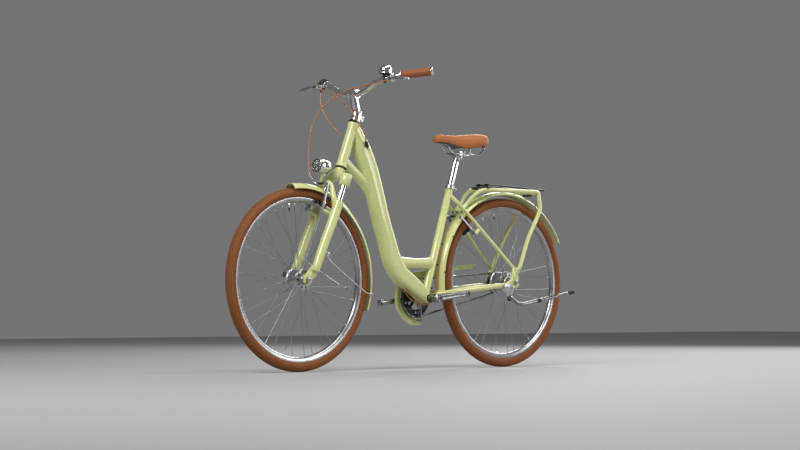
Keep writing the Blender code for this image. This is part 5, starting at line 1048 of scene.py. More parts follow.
def make_fork_upper():
    """The painted crown with its two lugs, and the bright stanchions that slide in the legs."""
    made = Piece(PAINT)
    heights = [(-STANCHION_Y, -56, 15.5), (-36, -46, 18.5), (-18, -35, 21.5), (0, -31, 23.5),
               (18, -35, 21.5), (36, -46, 18.5), (STANCHION_Y, -56, 15.5)]
    path = smooth_path([(y, s, half) for y, s, half in heights], 5)
    made.loft([ring(head(STANCHION_U * abs(y) / STANCHION_Y, y, s), HEAD_UP, HEAD_FORWARD, half,
                    20.5, 40, 2.6) for y, s, half in path])
    made.rod(head(0, 0, -50), head(0, 0, -5.6), (19.6, 19.2), 56, 2)
    for side in BOTH:
        made.turned([(0, 0), (15, 0), (19.5, 0.6), (21.5, 3), (21.5, 44),
                     (20, 47.5), (16, 49), (0, 49.5)], leg(side, -85), HEAD_UP, 56)
    made.finish(BLACK)
    for side in BOTH:
        made.turned([(0, 0), (12.5, 0), (13.5, 1.5), (10.5, 3.6), (0, 4)], leg(side, -35.8),
                    HEAD_UP, 40)
    made.finish(CHROME)
    made.rod(head(0, 0, -45), head(0, 0, 237.3), 14.3, 40)
    for side in BOTH:
        made.rod(leg(side, -205), leg(side, -70), 13, 48)
    made.done("fork_crown_and_stanchions", "steering_body", "paint", ["fork_upper"])


def make_fork_lowers():
    """The sliding legs with their arch, dropouts, brake bosses and dust seals."""
    made = Piece(PAINT)
    for side in BOTH:
        stations = [(8, -151.2, 16.5), (8, -152, 19.8), (8, -160, 20.4), (8.2, -168, 19.8),
                    (8.5, -185, 19.3), (9, -200, 19.4), (10.5, -250, 19.2), (14, -290, 18.8),
                    (16.5, -317, 18.4), (19, -370, 18), (20.5, -425, 17.2), (21.2, -440, 16),
                    (21.5, -448, 13.8), (21.5, -450, 10.5)]
        made.tube([leg(side, s, u) for u, s, _ in stations], [radius for *_, radius in stations],
                  14)
        outline = [(-30, 66), (-4, 66), (4, 46), (10, 32), (19.5, 13), (19.8, 4), (19.5, -6),
                   (16.5, -13.5), (12, -18), (4.9, -18), *arc((0, 0), 4.9, 0, 180, 10), (-4.9, -18),
                   (-12, -18), (-16.5, -14), (-18.5, -8), (-21, 10), (-32, 24), (-33, 40)]
        made.plate(outline, FRONT_AXLE + SIDE * side * 54, HEAD_FORWARD, HEAD_UP, 6, edge=1)
        brake_boss(made, "front", side, 52)
        made.box(stay_anchor(side * 65) + HEAD_FORWARD * 8, (26, 6, 9), HEAD_FORWARD, HEAD_UP, 1.5)
    half = [(9.5, 60, -212), (12, 60, -185), (28, 56, -155),
            (39, 46, -125), (42.5, 30, -98), (43, 12, -86)]
    arch = smooth_path(both_ways([head(*place) for place in half]), 8)
    middle = len(arch) / 2
    radii = [9.5 + 8 * max(0, abs(i - middle) / middle - 0.45) ** 1.2 / 0.49
             for i in range(len(arch))]
    made.tube(arch, radii, 6)
    made.finish(RUBBER)
    for side in BOTH:
        made.turned([(13.1, -1), (18.4, -1), (18.7, 0.2), (17.8, 1.4),
                     (15, 2.2), (13.1, 2.2)], leg(side, -151.2, 7.5), HEAD_UP, 48)
    made.finish(STEEL)
    for side in BOTH:
        made.pin(stay_anchor(side * 71.2), SIDE * side, -1, 3, 4.2, 20)
    made.done("fork_legs_and_arch", "fork_lower_body", "paint", ["fork_lowers"])


def make_front_mudguard():
    made = Piece(PAINT)
    guard(made, FRONT_AXLE, FRONT_GUARD_R, 21, 83, 199, 72)
    top = FRONT_GUARD_R - AXLE_TO_HEAD
    low, high = top - 1, top + 36
    made.finish(STEEL)
    made.box(head(31.7, 0, (low + high) / 2), (3.6, 18, high - low), HEAD_FORWARD, HEAD_UP)
    for angle in (96, 187):
        made.pin(FRONT_AXLE, facing(angle), FRONT_GUARD_R - 1, FRONT_GUARD_R + 3, (4.2, 3.6), 20)
    made.done("front_guard", "fork_lower_body", "paint", ["front_mudguard"], crease=50)
    wire = 2
    edge, crown = GUARD_HALF + 3.7, FRONT_GUARD_R + 3.9
    anchor = stay_anchor(68 + wire + 0.3)
    half = [anchor, anchor + head(-21.5, 0, -24) - HEAD_FOOT,
            polar(FRONT_AXLE, 300, 187.5, 43),
            *[polar(FRONT_AXLE, radius, 188.5, y) for radius, y in (
                (FRONT_GUARD_R - 23, edge), (FRONT_GUARD_R - 11, edge - 0.5), (crown - 4, 25),
                (crown, 13))]]
    made = Piece(STEEL)
    made.tube(smooth_path(both_ways(half), 6), wire, 3)
    made.done("front_guard_stay", "fork_lower_body", "steel", ["front_mudguard_stay"])


LAMP_REAR = HEAD_FOOT + AHEAD * 55.5


def make_headlamp():
    """A bright bullet lamp: shell, bezel, bowl and lamp inside, glass, and its bracket."""
    rear = LAMP_REAR
    made = Piece(CHROME)
    made.turned([(0, 0.5), (8.5, 0.8), (14, 3.5), (19, 9.5), (22.5, 19), (25.2, 30), (26.8, 42),
                 (27.6, 54), (28.8, 55.6), (29, 57.5), (29, 69), (28.4, 69.8), (27.2, 70),
                 (26.9, 69), (26.8, 56), (24, 40), (17, 27), (8, 21.5), (0, 20.5)], rear, AHEAD, 72)
    foot = head(53, 0, -88)
    top = rear + Vector((42, 0, -21))
    made.finish(SATIN)
    made.tube(smooth_path([foot, foot.lerp(top, 0.3) - AHEAD * 1, foot.lerp(top, 0.7), top],
                          6), 4.2, 3)
    made.box(head(52.8, 0, -87), (3, 16, 14), HEAD_FORWARD, HEAD_UP, edge=1)
    made.pin(top, UP, -4, 6, 6.5)
    made.rod(head(54, 0, -88), head(58.5, 0, -88), 4.5, 6)
    made.finish(BLACK)
    made.pin(rear, AHEAD, -1.5, 3, 6.8, 28)
    made.done("headlamp_shell", "fork_lower_body", "chrome", ["headlamp"])
    made = Piece(CHROME)
    bowl = [(0, 22.2), (5, 22.6), (11, 25.2), (17, 31.8), (22.2, 41.8), (25.8, 56)]
    made.turned([*bowl, *[(r + 0.3 if r else 0, z - 0.8) for r, z in reversed(bowl)]], rear, AHEAD,
                16)
    made.pin(rear, AHEAD, 22.5, 35, 4, 8)
    made.done("headlamp_faceted_bowl", "fork_lower_body", "chrome")
    made = Piece(GLASS)
    made.turned([(0, 58.5), (26.2, 58.5), (26.4, 65.5), (24, 68),
                 (18, 70), (10, 71.2), (0, 71.6)], rear, AHEAD, 48)
    made.done("headlamp_front_glass", "fork_lower_body", "lens", ["headlamp_lens"])


def bar_place(x, y, z):
    """A point given from the handlebar's middle."""
    return head(42.9, 0, 295.8) + Vector((x, y, z))


BAR_CURVE = [(0, 30, 1), (2, 70, 10), (3, 103, 25), (0, 130, 37)]
BAR_BENDS = [(-10, 158, 46), (-25, 185, 53), (-38, 218, 60)]
BAR_END = (-115, 326, 74)
GRIP_REACH = (Vector(BAR_END) - Vector(BAR_BENDS[2])).length
GRIP_START = GRIP_REACH - 127
TWIST_LENGTH = 45
TWIST_START = GRIP_START - 0.5


def along_bar(start, end, distance, side=1):
    first, last = bar_place(*start), bar_place(*end)
    return sided(first + (last - first).normalized() * distance, side)


def clamp_station(distance, side):
    return along_bar(BAR_BENDS[1], BAR_BENDS[2], distance, side)


def grip_station(distance, side):
    return along_bar(BAR_BENDS[2], BAR_END, distance, side)


def make_handlebar():
    made = Piece(POLISHED)
    half = [bar_place(*p) for p in [*BAR_CURVE, *BAR_BENDS, BAR_END]]
    side = [bar_place(0, 12, 0), bar_place(0, 24, 0), *half]
    route = smooth_path(both_ways(side[::-1])[::-1], 8)
    radii = [BAR_R + 1.6 * eased_in((34 - abs(p.y)) / 10) for p in route]
    made.tube(route, radii, 10)
    made.done("handlebar_tube", "steering_body", "satin", ["handlebar"])


def make_stem():
    """The stem: a clamp on the steerer with its two bolts, a neck, and a split bar clamp."""
    made = Piece(POLISHED)
    bar = bar_place(0, 0, 0)
    low, high = 200.3, 243.3
    made.turned([(14.6, low), (19, low), (19.7, low + 0.8), (19.7, low + 12), (18.8, high - 3),
                 (17.2, high), (8, high + 0.4), (0, high + 0.4)], HEAD_FOOT, HEAD_UP, 56)
    path = [head(4, 0, high - 20), head(7.5, 0, high - 4),
            head(20, 0, high + 14), bar - HEAD_UP * 6]
    neck = smooth_path(path, 5)
    made.tube(neck, [18 - 2.2 * i / len(neck) for i in range(len(neck))], 10)
    made.sleeve(bar - SIDE * 22, bar + SIDE * 22, 18.8, 12.8, 56, 1.4)
    made.box(head(-25, 0, low + 20), (18, 17, 26), HEAD_FORWARD, HEAD_UP, 3)
    face = bar + HEAD_FORWARD * 15
    made.box(face, (12.5, 43, 30), HEAD_FORWARD, HEAD_UP, 5.5)
    # Painted shade: a thin dark strip stands in the slit of the steerer clamp.
    made.finish(DARK_METAL)
    made.box(head(-28.5, 0, low + 20), (13.5, 1.6, 26.2), HEAD_FORWARD, HEAD_UP, 0.3)
    made.finish(STEEL)
    for rise in (12.5, 27.5):
        made.rod(head(-28.5, -11.8, low + rise), head(-28.5, 11.8, low + rise), 3.6, 20)
    for across in (-14.5, 14.5):
        for rise in (-10.5, 10.5):
            spot = face + HEAD_FORWARD * 5.5 + SIDE * across + HEAD_UP * rise
            made.bolt(spot, HEAD_FORWARD, 2.6, 3.6, 1.9, 20)
    made.finish(DARK_METAL)
    made.rod(head(0, 0, high), head(0, 0, high + 1.4), 12, 32)
    made.done("bar_stem", "steering_body", "polished", ["stem"])


def grip_shells(made, side, start):
    """A hide-wrapped grip between two bright collars."""
    base = grip_station(0, side)
    along = grip_station(1, side) - base
    end = GRIP_REACH + 0.5
    made.finish(GRIP)
    profile = [(11.2, start + 4.5), (15.4, start + 4.6), (16, start + 6)]
    for share in range(1, 12):
        swell = 0.4 * math.sin(math.pi * share / 12) ** 2
        profile.append((16.4 - swell, start + 6 + (end - start - 12) * share / 12))
    profile += [(16.4, end - 6), (16, end - 4.5), (11.2, end - 4.4)]
    made.turned(profile, base, along, 48)
    made.finish(POLISHED)
    made.turned([(11.2, start), (16.8, start), (17.4, start + 0.8),
                 (17.4, start + 3.8), (16.8, start + 4.6), (11.2, start + 4.6)], base, along, 48)
    made.turned([(0, end - 4.6), (16.8, end - 4.6), (17.5, end - 3.8), (17.5, end + 1.2),
                 (16, end + 3), (8, end + 3.7), (0, end + 3.8)], base, along, 48)
    spot = grip_station(start + 2.3, side)
    made.finish(STEEL)
    made.rod(spot - UP * 16.8, spot - UP * 18.8, 1.9, 16)


def make_grips():
    for word, start in (("left", GRIP_START), ("right", GRIP_START + TWIST_LENGTH + 0.5)):
        made = Piece(GRIP)
        grip_shells(made, WORDS[word], start)
        made.done(word + "_hand_grip", "steering_body", "brown_rubber", ["grip_" + word])


SHIFTER_EXIT = HEAD_FOOT + Vector((-79.1, -209.6, 316.9))
SHIFTER_WAY = Vector((0.614, 0.191, -0.764)).normalized()


def make_shifter():
    """A ribbed twist grip beside its housing, which has a gear window and the cable's exit."""
    base = grip_station(0, -1)
    along = grip_station(1, -1) - base
    made = Piece(RUBBER)
    start, end = TWIST_START, TWIST_START + TWIST_LENGTH
    made.turned([(11.7, start), (20.5, start), (21.2, start + 1),
                 (21.4, start + 9), (20, start + 11), (19.8, end - 12),
                 (17.8, end - 2), (17, end), (11.7, end)], base, along, 56)

    def rib(single):
        spot = along_matrix(base, along) @ Vector((19.8, 0, start + 22))
        single.box(spot, (21, 3, 2.2), along, spot - base - along * 30, 0.8)

    made.copies(base, along, 18, rib)
    made.done("twist_grip_sleeve", "twist_grip", "black_plastic", ["shifter_grip"])
    made = Piece(BLACK)
    inner, outer = clamp_station(20.5, -1), clamp_station(32.5, -1)
    way = (outer - inner).normalized()
    made.sleeve(inner, outer, 20.5, 11.6, 56, 1.8)
    made.pin(SHIFTER_EXIT, SHIFTER_WAY, -26, -9, (6.8, 5.6), 28)
    made.pin(SHIFTER_EXIT, SHIFTER_WAY, -9.2, 0, (5, 4.4))
    window = (inner + outer) / 2 + UP * 18.5 + AHEAD * 4
    made.box(window, (15, 12, 6), AHEAD, way.cross(AHEAD), 1.5)
    made.finish(GLASS)
    made.box(window + UP * 3, (10.5, 8, 1.4), AHEAD, way.cross(AHEAD), 0.4)
    made.done("shifter_housing", "steering_body", "black_plastic", ["shifter_body"])


def lever_pivot(side):
    return sided(clamp_station(9.5, 1) + Vector((36, 20, -9)), side)


def cable_mouth(side):
    return sided(lever_pivot(1) + Vector((-4, -21, -6)), side)


def make_perch(word, side):
    """A lever's clamp on the bar: hinged band, clamp bolt, forked arm and cable adjuster."""
    inner, outer = clamp_station(2, side), clamp_station(17, side)
    middle = (inner + outer) / 2
    pivot = lever_pivot(side)
    reach = Vector((pivot.x - middle.x, pivot.y - middle.y, 0)).normalized()
    mouth, way_out = cable_mouth(side), cable_start(side)
    made = Piece(SATIN)
    made.sleeve(inner, outer, 15.2, 11.4, 48, 1.2)
    start = middle + (pivot - middle).normalized() * 11
    made.tube(smooth_path([start, pivot - reach * 16, pivot - reach * 10], 4), 8.2, 8)
    for rise in (6.9, -6.9):
        made.box(pivot - reach * 4 + UP * rise, (22, 15.5, 3.8), reach, UP, 1.2)
        made.pin(pivot, UP, rise - 1.9, rise + 1.9, 8.5, 32)
    made.box(pivot - reach * 13, (5, 15, 14), reach, UP, 1.4)
    made.pin(mouth, way_out, -16.5, -6.5, 6.2, 28)
    made.finish(STEEL)
    made.pin(pivot, UP, -9.8, 9.8, 3.4)
    made.pin(mouth, way_out, -6.5, 0, (4.8, 4.4))
    made.pin(middle - UP * 15, reach, -5, 8, 3, 20)
    made.done("brake_clamp_" + word, "steering_body", "black_metal", ["brake_perch_" + word])


def make_lever(word, side):
    pivot = lever_pivot(side)
    made = Piece(SATIN)
    route = [(3, 5, 0), (4.5, 13.5, 0), (7, 30, -2), (6.5, 55, -4), (4, 80, -6), (-1, 100, -8),
             (-3, 106.5, -8.2)]
    sizes = [(4, 4.2), (4.2, 5), (4.4, 6.8), (4.4, 7.2), (4.2, 6.6), (5, 6.6), (3.6, 4.2)]
    rows = smooth_path(route, 5)
    rings = []
    for index, place in enumerate(rows):
        size = between(sizes, index / (len(rows) - 1) * (len(sizes) - 1))
        before, after = rows[max(index - 1, 0)], rows[min(index + 1, len(rows) - 1)]
        along = sided(after - before, side).normalized()
        across = along.cross(UP).normalized()
        rings.append(ring(pivot + sided(place, side), across, UP, *size, 24, 2.2))
    made.loft(rings)
    made.pin(pivot, UP, -4.2, 4.2, 7.8, 32)
    made.finish(DARK_METAL)
    made.box(pivot + sided(Vector((2.5, 8, 0)), side), (14, 10, 8),
             sided(Vector((0.25, 1, 0)), side), UP, 1)
    made.done("brake_blade_" + word, word + "_lever", "satin", ["brake_lever_" + word])


def make_bell():
    """A bright bell dome with a turned ring, on its band, with the striker's post below."""
    foot = along_bar(BAR_BENDS[0], BAR_BENDS[1], 9)
    along = (bar_place(*BAR_BENDS[1]) - bar_place(*BAR_BENDS[0])).normalized()
    made = Piece(BLACK)
    made.sleeve(foot - along * 5.5, foot + along * 5.5, 15, 11.4, 48, 1.2)
    low = foot + UP * 13.5
    rise = low + UP * 8
    made.pin(low, UP, 0.2, 28, 4)
    made.pin(low, UP, 6.2, 8.8, 20, 48)
    reach, height = 27, 34
    made.finish(BELL)
    dome = [(reach - 1.4, 0.4), (reach, 0), (reach + 0.2, 1),
            (reach - 0.2, 2.2), (0.99 * reach, 0.32 * height), (0.95 * reach, 0.54 * height),
            (0.86 * reach, 0.74 * height), (0.70 * reach, 0.88 * height),
            (0.47 * reach, 0.96 * height), (0.27 * reach, 0.985 * height),
            (0.26 * reach, 0.975 * height), (0.22 * reach, 0.975 * height),
            (0.21 * reach, 0.995 * height), (0.10 * reach, 1.00 * height), (0, height)]
    inner = [(0, height - 1.4), (0.45 * reach, 0.89 * height), (0.80 * reach, 0.65 * height),
             (0.95 * reach, 0.30 * height)]
    made.turned([*dome, *inner], rise, UP, 64)
    made.done("bell_dome_and_band", "steering_body", "chrome", ["bell"])
    made = Piece(BLACK)
    bottom, top = low + UP * 2.2, low + UP * 5.7
    made.sleeve(bottom, top, 8.5, 4.6, 32)
    middle = (bottom + top) / 2
    made.box(middle + Vector((-20, 6, 0)), (27, 8.5, 3), (-1, 0.3, 0), UP, 1)
    made.pin(middle + Vector((-33.5, 10, 0)), UP, -2, 6, (5.6, 5), 28, 1.2)
    made.done("bell_thumb", "bell_thumb_lever", "black_plastic", ["bell_lever"])


PITCH = 12.7
RING_TEETH = 38
SPROCKET_TEETH = 20


def pitch_radius(teeth):
    return PITCH / (2 * math.sin(math.pi / teeth))


def toothed_outline(teeth):
    """A toothed wheel's outline: rounded tips with flanks, and round roots between them."""
    tip, root = pitch_radius(teeth) + 2.2, pitch_radius(teeth) - 4
    outline = []
    for index in range(teeth):
        for share, radius in ((-0.10, tip), (0.10, tip), (0.28, root + 2.2), (0.42, root),
                              (0.58, root), (0.72, root + 2.2)):
            angle = 2 * math.pi * (index + share) / teeth
            outline.append((radius * math.cos(angle), radius * math.sin(angle)))
    return outline


def make_toothed_wheels():
    made = Piece(DARK_METAL)
    centre = BRACKET - SIDE * CHAINLINE
    holes = [circle(46, 64), *[circle(5.5, 16, centre) for centre in arc((0, 0), 58, 54, 342, 5)]]
    made.plate(toothed_outline(RING_TEETH), centre, AHEAD, UP, 2.2, edge=0.3, holes=holes)
    made.done("chainring_disc", "crankset", "satin", ["chainring"])
    made = Piece(CHAIN_STEEL)
    centre = REAR_AXLE - SIDE * CHAINLINE
    made.plate(toothed_outline(SPROCKET_TEETH), centre, AHEAD, UP, 2.2, edge=0.3,
               holes=[circle(18, 40)])
    made.sleeve(REAR_AXLE - SIDE * 36.3, REAR_AXLE - SIDE * 54, 18.2, 5.5, 48)
    made.turned([(14, 53), (20.5, 53), (20.5, 52), (14, 52)], REAR_AXLE, -SIDE, 48)
    made.done("rear_sprocket_wheel", "sprocket_body", "steel", ["rear_sprocket"])


def chain_path():
    """Places one pitch apart round the chain's closed line."""
    front, rear = pitch_radius(RING_TEETH), pitch_radius(SPROCKET_TEETH)
    line = REAR_AXLE - BRACKET
    lean = math.atan2(line.z, line.x)
    spread = math.acos((front - rear) / line.length)
    points = [polar(centre, radius, math.degrees(angle), -CHAINLINE) for centre, radius, start, end,
              count in ((BRACKET, front, lean - spread, lean + spread - 2 * math.pi, 120),
                        (REAR_AXLE, rear, lean + spread, lean - spread, 60))
              for angle in spaced(start, end, count)]
    points.append(points[0])
    total = path_length(points)
    count = round(total / PITCH / 2) * 2
    step = total / count
    places, far, spot = [], 0.0, 0
    for index in range(count):
        want = index * step
        while far + (points[spot + 1] - points[spot]).length < want:
            far += (points[spot + 1] - points[spot]).length
            spot += 1
        share = (want - far) / (points[spot + 1] - points[spot]).length
        places.append(points[spot].lerp(points[spot + 1], share))
    return places


def make_chain():
    """A roller chain: inner and outer link plates by turns, with a roller at each pin."""
    made = Piece(CHAIN_STEEL)
    places = chain_path()
    half = PITCH / 2
    outline = [*arc((half, 0), 4, -110, 110, 7), (0.0, 2.9), *arc((-half, 0), 4, 70,
                                                                           290, 7), (0.0, -2.9)]
    for index, place in enumerate(places):
        after = places[(index + 1) % len(places)]
        middle, along = (place + after) / 2, (after - place).normalized()
        up = SIDE.cross(along)
        for side in BOTH:
            y = 3.4 if index % 2 else 2.3
            made.plate(outline, middle + SIDE * side * y, along, up, 1, edge=0.2)
        made.pin(place, SIDE, -4, 4, 1.8, 8, 0.2)
        made.pin(place, SIDE, -1.8, 1.8, 3.8, 10, 0.2)
    made.done("roller_chain", "frame_body", "steel", ["chain"])


def make_bottom_bracket():
    made = Piece(DARK_METAL)
    for side, inner, outer in ((1, 34.3, 39), (-1, 36.6, 41)):
        made.turned([(9, inner), (19.2, inner), (19.5, inner + 1),
                     (19.5, outer - 1), (18.5, outer), (9, outer)], BRACKET, SIDE * side, 48)
    made.sleeve(BRACKET - SIDE * 36, BRACKET + SIDE * 34, 16.8, 9, 40)
    made.finish(STEEL)
    for side, face in ((1, 38.8), (-1, 40.8)):
        made.sleeve(BRACKET + SIDE * side * face, BRACKET + SIDE * side * (face + 0.4), 13,
                    9, 40, 0.1)
    made.done("bottom_bracket_cups", "frame_body", "steel", ["bottom_bracket"])


def make_crank(word, side):
    """A forged crank with a long hollow down its face, a pedal eye, and its fixing bolt."""
    along = facing(-6.5) * -side
    thick = along.cross(SIDE).normalized()
    outer = 83
    inner = 40.5 if side > 0 else 52.5
    made = Piece(ALLOY)
    made.turned([(9, inner), (17.8, inner), (19, inner + 1.5),
                 (19, outer - 3.5), (17.8, outer - 0.5), (12, outer),
                 (11, outer - 1), (11, outer - 6), (9, outer - 6)], BRACKET, SIDE * side, 56)
    stations = [(6, 72.5, 16, 8.8), (30, 73.8, 14, 8), (60, 75, 13, 7.6), (120, 77, 11.2, 7.2),
                (150, 77.7, 10.8, 7), (CRANK_LENGTH, 78, 11.8, 6.8)]
    rings = []
    for index in range(26):
        reach, y, half, deep = between(stations, index / 25 * (len(stations) - 1))
        points = []
        hollow = 1.1 * eased_in((index - 2) / 2) * eased_in((22 - index) / 2)
        for c, s in superoval(32, 3.2):
            dip = hollow * max(0.0, 1 - (c / 0.52) ** 4) if s > 0.5 else 0.0
            points.append(BRACKET + along * reach + SIDE * side * (y + s * deep - dip)
                          + thick * c * half)
        rings.append(points)
    made.loft(rings)
    eye = BRACKET + along * CRANK_LENGTH
    made.turned([(6.8, 71.2), (11.8, 71.2), (12.6, 72.2), (12.6, 84.2),
                 (11.8, 85), (7.6, 85), (6.8, 84.2)], eye, SIDE * side, 48)
    if side < 0:
        for index in range(5):
            out = facing(72 * index + 18)
            made.finish(DARK_METAL)
            made.box(BRACKET + out * 32.5 - SIDE * 55.5, (51, 12, 5.2), out, SIDE, 1.6)
            made.bolt(BRACKET + out * 52 - SIDE * 57.5, -SIDE, 2.8, 4.6, 2.4)
    made.finish(STEEL)
    made.turned([(0, outer - 8.5), (8.8, outer - 8.5), (8.8, outer - 3.6), (7.8, outer - 3),
                 (4.5, outer - 3), (4.5, outer - 6), (0, outer - 6)], BRACKET, SIDE * side, 32)
    made.finish(DARK_METAL)
    made.sleeve(eye + SIDE * side * 72.2, eye + SIDE * side * 83.8, 6.9, 6.2, 32, 0.1)
    made.done(f"{word}_crank_arm", "crankset", "polished", ["crank_" + word])


def make_cranks():
    for word, side in WORDS.items():
        make_crank(word, side)
    made = Piece(STEEL)
    made.pin(BRACKET, SIDE, -74.5, 74.5, 8.5, 32)
    made.done("crank_axle", "crankset", "steel", ["crank_spindle"])


def make_chain_guard():
    """The painted guard: a hoop round the chainring and a tapering run above the chain."""
    plate_y, inner_y, lip_y = -63, -61.5, -45.5
    run = ((-30, 79.5, 111.5), (-58, 87, 114.5), (-100, 93.5, 119.5), (-140, 100, 124.5),
           (-180, 108, 129.8), (-221, 116, 135), (-285, 121.5, 139), (-335, 126.2, 142.2),
           (-348, 129, 140.5))
    stations = [(polar(BRACKET, 75, a), polar(BRACKET, 108, a)) for a in range(-106, 91, 4)]
    stations += [(BRACKET + Vector((x, 0, low)), BRACKET + Vector((x, 0, high)))
                 for x, low, high in run]
    rings = []
    for inner, outer in stations:
        inward = (inner - outer).normalized()
        rings.append([edge + inward * into + SIDE * y for edge, into, y in (
            (inner, 0, inner_y), (inner, -0.6, plate_y - 0.4), (inner, -3, plate_y - 0.4),
            (inner, -4.2, plate_y), (outer, 3.5, plate_y), (outer, 1, plate_y + 1),
            (outer, 0, plate_y + 3.5), (outer, 0, lip_y), (outer, 1.4, lip_y),
            (outer, 1.4, inner_y + 3), (outer, 4.5, inner_y))])
    made = Piece(PAINT)
    made.loft(rings)
    made.sleeve(BRACKET - SIDE * 34.3, BRACKET - SIDE * 36.3, 22.5, 17.1, 48)
    down = facing(-102)
    spot = BRACKET + down * 91.5
    made.finish(SATIN)
    made.box(BRACKET + down * 58.5 - SIDE * 35.3, (77, 2, 14), down, SIDE, 0.5)
    made.pin(spot, -SIDE, 34.8, 62.5, 4)
    made.bolt(spot - SIDE * 63, -SIDE, 2.2, (5.8, 5), 2.4, 28)
    made.done("chain_cover", "frame_body", "paint", ["chain_guard"], crease=35)


def make_stand():
    """The kickstand: a plate on the dropout, and the folded leg with its clamp and foot."""
    hinge = REAR_AXLE + Vector((39.5, 90.5, -64))
    axis = Vector((0, 0.918, 0.396)).normalized()
    start = REAR_DROPOUT_Y + 7.8
    outline = [(-26, 52), (-10, 55.5), (10, 57.5), (26, 58), (30, 50), (30, 40), (21.5, 20),
               (13, 4), (6, -12), (-7, -12), (-13, 4), (-21.5, 20), (-30, 36), (-30, 45)]
    made = Piece(SATIN)
    made.plate(outline, Vector((hinge.x, start + 2, hinge.z)), AHEAD, UP, 4, 1)
    made.finish(DARK_METAL)
    made.pin(hinge, axis, -15.5, -6.5, 10.5, 40)
    made.finish(STEEL)
    made.pin(hinge, axis, -8, 8, 4)
    made.pin(hinge, axis, 6.5, 10, (7.6, 6.6), 32)
    for x in (-14, 14):
        made.bolt(Vector((hinge.x + x, start + 4, hinge.z + 42)), SIDE, 2.8, 4.6, 2.2)
    made.done("kickstand_plate", "frame_body", "satin", ["kickstand_bracket"])
    made = Piece(ALLOY)
    route = [(-4, 1.2, -3), (-18, 4.5, -13.5), (-34, 6.2, -23), (-52, 7, -26.8), (-80, 9, -25),
             (-135, 13, -15), (-348, 26.5, 24.2)]
    points = smooth_path([hinge + Vector(place) for place in route], 10)
    radii = [5.6 + 2.4 * eased_in(share / 0.10) - 2 * max(0, share - 0.35)
             for share in spaced(0, 1, len(points))]
    made.tube(points, radii, 8)
    made.pin(hinge, axis, -6.2, 6.2, 10.6, 40)
    made.finish(DARK_METAL)
    clamp = hinge + Vector((-150, 14, -12.2))
    along = (hinge + Vector((-348, 26.5, 24.2)) - clamp).normalized()
    made.pin(clamp, along, -11, 11, 8.6, 36, 1)
    made.finish(RUBBER)
    end = hinge + Vector((-357, 27, 26))
    made.turned([(0, 1), (6.2, 0.4), (7.8, -2), (8.2, -6),
                 (8, -30), (7, -33), (0, -33)], end, along, 36)
    made.done("kickstand_leg_and_foot", "kickstand", "steel", ["kickstand_leg"])


PAD_R = 309.5
ARM_LENGTH = 108


def make_brake_arm(end, word, side):
    """A V-brake arm: forged lever, pad in its holder, threaded post with washers, and spring."""
    pivot, up, pin = BRAKES[end]
    out, inward = SIDE * side, SIDE * -side
    centre = pivot + out * BRAKE_PIVOT_Y
    outline = [*arc((0, 0), 9.5, 205, 335, 9), (8.6, 15), (8, 30), (8, 88), (11.5, 100),
               (11.5, ARM_LENGTH), (1.5, ARM_LENGTH), (0, 96), (-1.5, 88), (-3.4, 70), (-5.5, 50),
               (-7.2, 35), (-9, 20)]
    # The rear arms take the darker alloy as painted shade, for the shadow that the rear brake sits
    # in; the front arms keep the bright satin.
    made = Piece(SATIN if end == "front" else ALLOY)
    made.plate(outline, centre, inward, up, 9.8, edge=2)
    pad = pivot + up * (PAD_R - BRAKE_PIVOT_R)
    rim_gap = RIM_HALF + 2
    made.finish(DARK_METAL)
    made.pin(pad, out, rim_gap + 7.8, 37, (6, 5), 32, 1.2)
    made.box(pad + out * (rim_gap + 6.8), (44, 2.6, 7.8), pin, SIDE, 1)
    made.finish(STEEL)
    made.pin(pad, out, rim_gap + 6, 56.2, 3, 20)
    made.pin(pad, out, 46.8, 48.6, 6.2, 28)
    made.pin(pad, out, 48.6, 53, 5.2, 6)
    made.pin(centre + up * 98 + inward * 6.5, pin, 4, 7.8, 4.2, 6)
    coil = [centre - pin * ahead + inward * into + up * rise
            for ahead, into, rise in ((5.2, 7.6, 10), (5.6, 10, 45), (4.6, 8.6, 60))]
    made.tube(smooth_path(coil, 6), 0.7, 2)
    made.finish(RUBBER)
    block = pad + out * (rim_gap + 3)
    for shift in (-16.5, 0, 16.5):
        made.box(block + pin * shift - up * shift**2 * 0.003, (15.8, 5.6, 9), pin, SIDE, 0.9)
    made.box(block + out * 1.2, (47, 3.2, 7.6), pin, SIDE, 0.8)
    made.done(f"{end}_{word}_brake_arm_and_pad", f"{end}_arm_{word}", "satin",
              [f"{end}_brake_arm_{word}"])


FRONT_CABLE = [(296, 150, 1119), (297, 115, 1116), (298, 70, 1111), (318, 20, 1103), (325, 0, 1094),
               (347, -35, 1075), (386, -70, 1028), (410, -78, 991), (432, -80, 942),
               (449, -75, 862), (460, -60, 789), (462.5, -54, 762)]
INNER_PATH = [(205, 15, 830), (172, 10, 720), (140, 10, 610), (103, 10, 510), (70, 10, 430),
              (12, 11, 335), (-20, 12, 300), (-45, 11, 279)]
REAR_CABLE = [(299, -170, 1115), (292, -97, 1086), (290, -46, 1053), (293, 3, 1019), (292, 29, 985),
              (275, 40, 952), (260, 42, 931), (249, 39, 910), (237, 32, 883), *INNER_PATH,
              (-70, 10, 266), (-100, 10, 260), (-128, 10, 263), (-150, 10, 285), (-163, 10, 330),
              (-172, 10, 400), (-190, 10, 470), (-212.5, 8, 540), (-237, -4, 595),
              (-256, -24, 623.5)]
SHIFT_CABLE = [(290, -188, 1098), (306, -170, 1078), (316, -150, 1041), (315, -120, 996),
               (302, -80, 950), (293, -65, 934), (283, -52, 921), (262, -40, 903), (237, -28, 880),
               *[(x, -y, z) for x, y, z in INNER_PATH], (-70, -12, 266), (-100, -16, 260),
               (-135, -24, 264), (-180, -36, 283), (-300, -50, 300.5), (-420, -58, 316),
               (-500, -62, 325.5), (-520, -62, 326.5)]


BARE_WIRE = 45


def cable_start(side):
    first = FRONT_CABLE[0] if side > 0 else REAR_CABLE[0]
    return (Vector(first) - cable_mouth(side)).normalized()


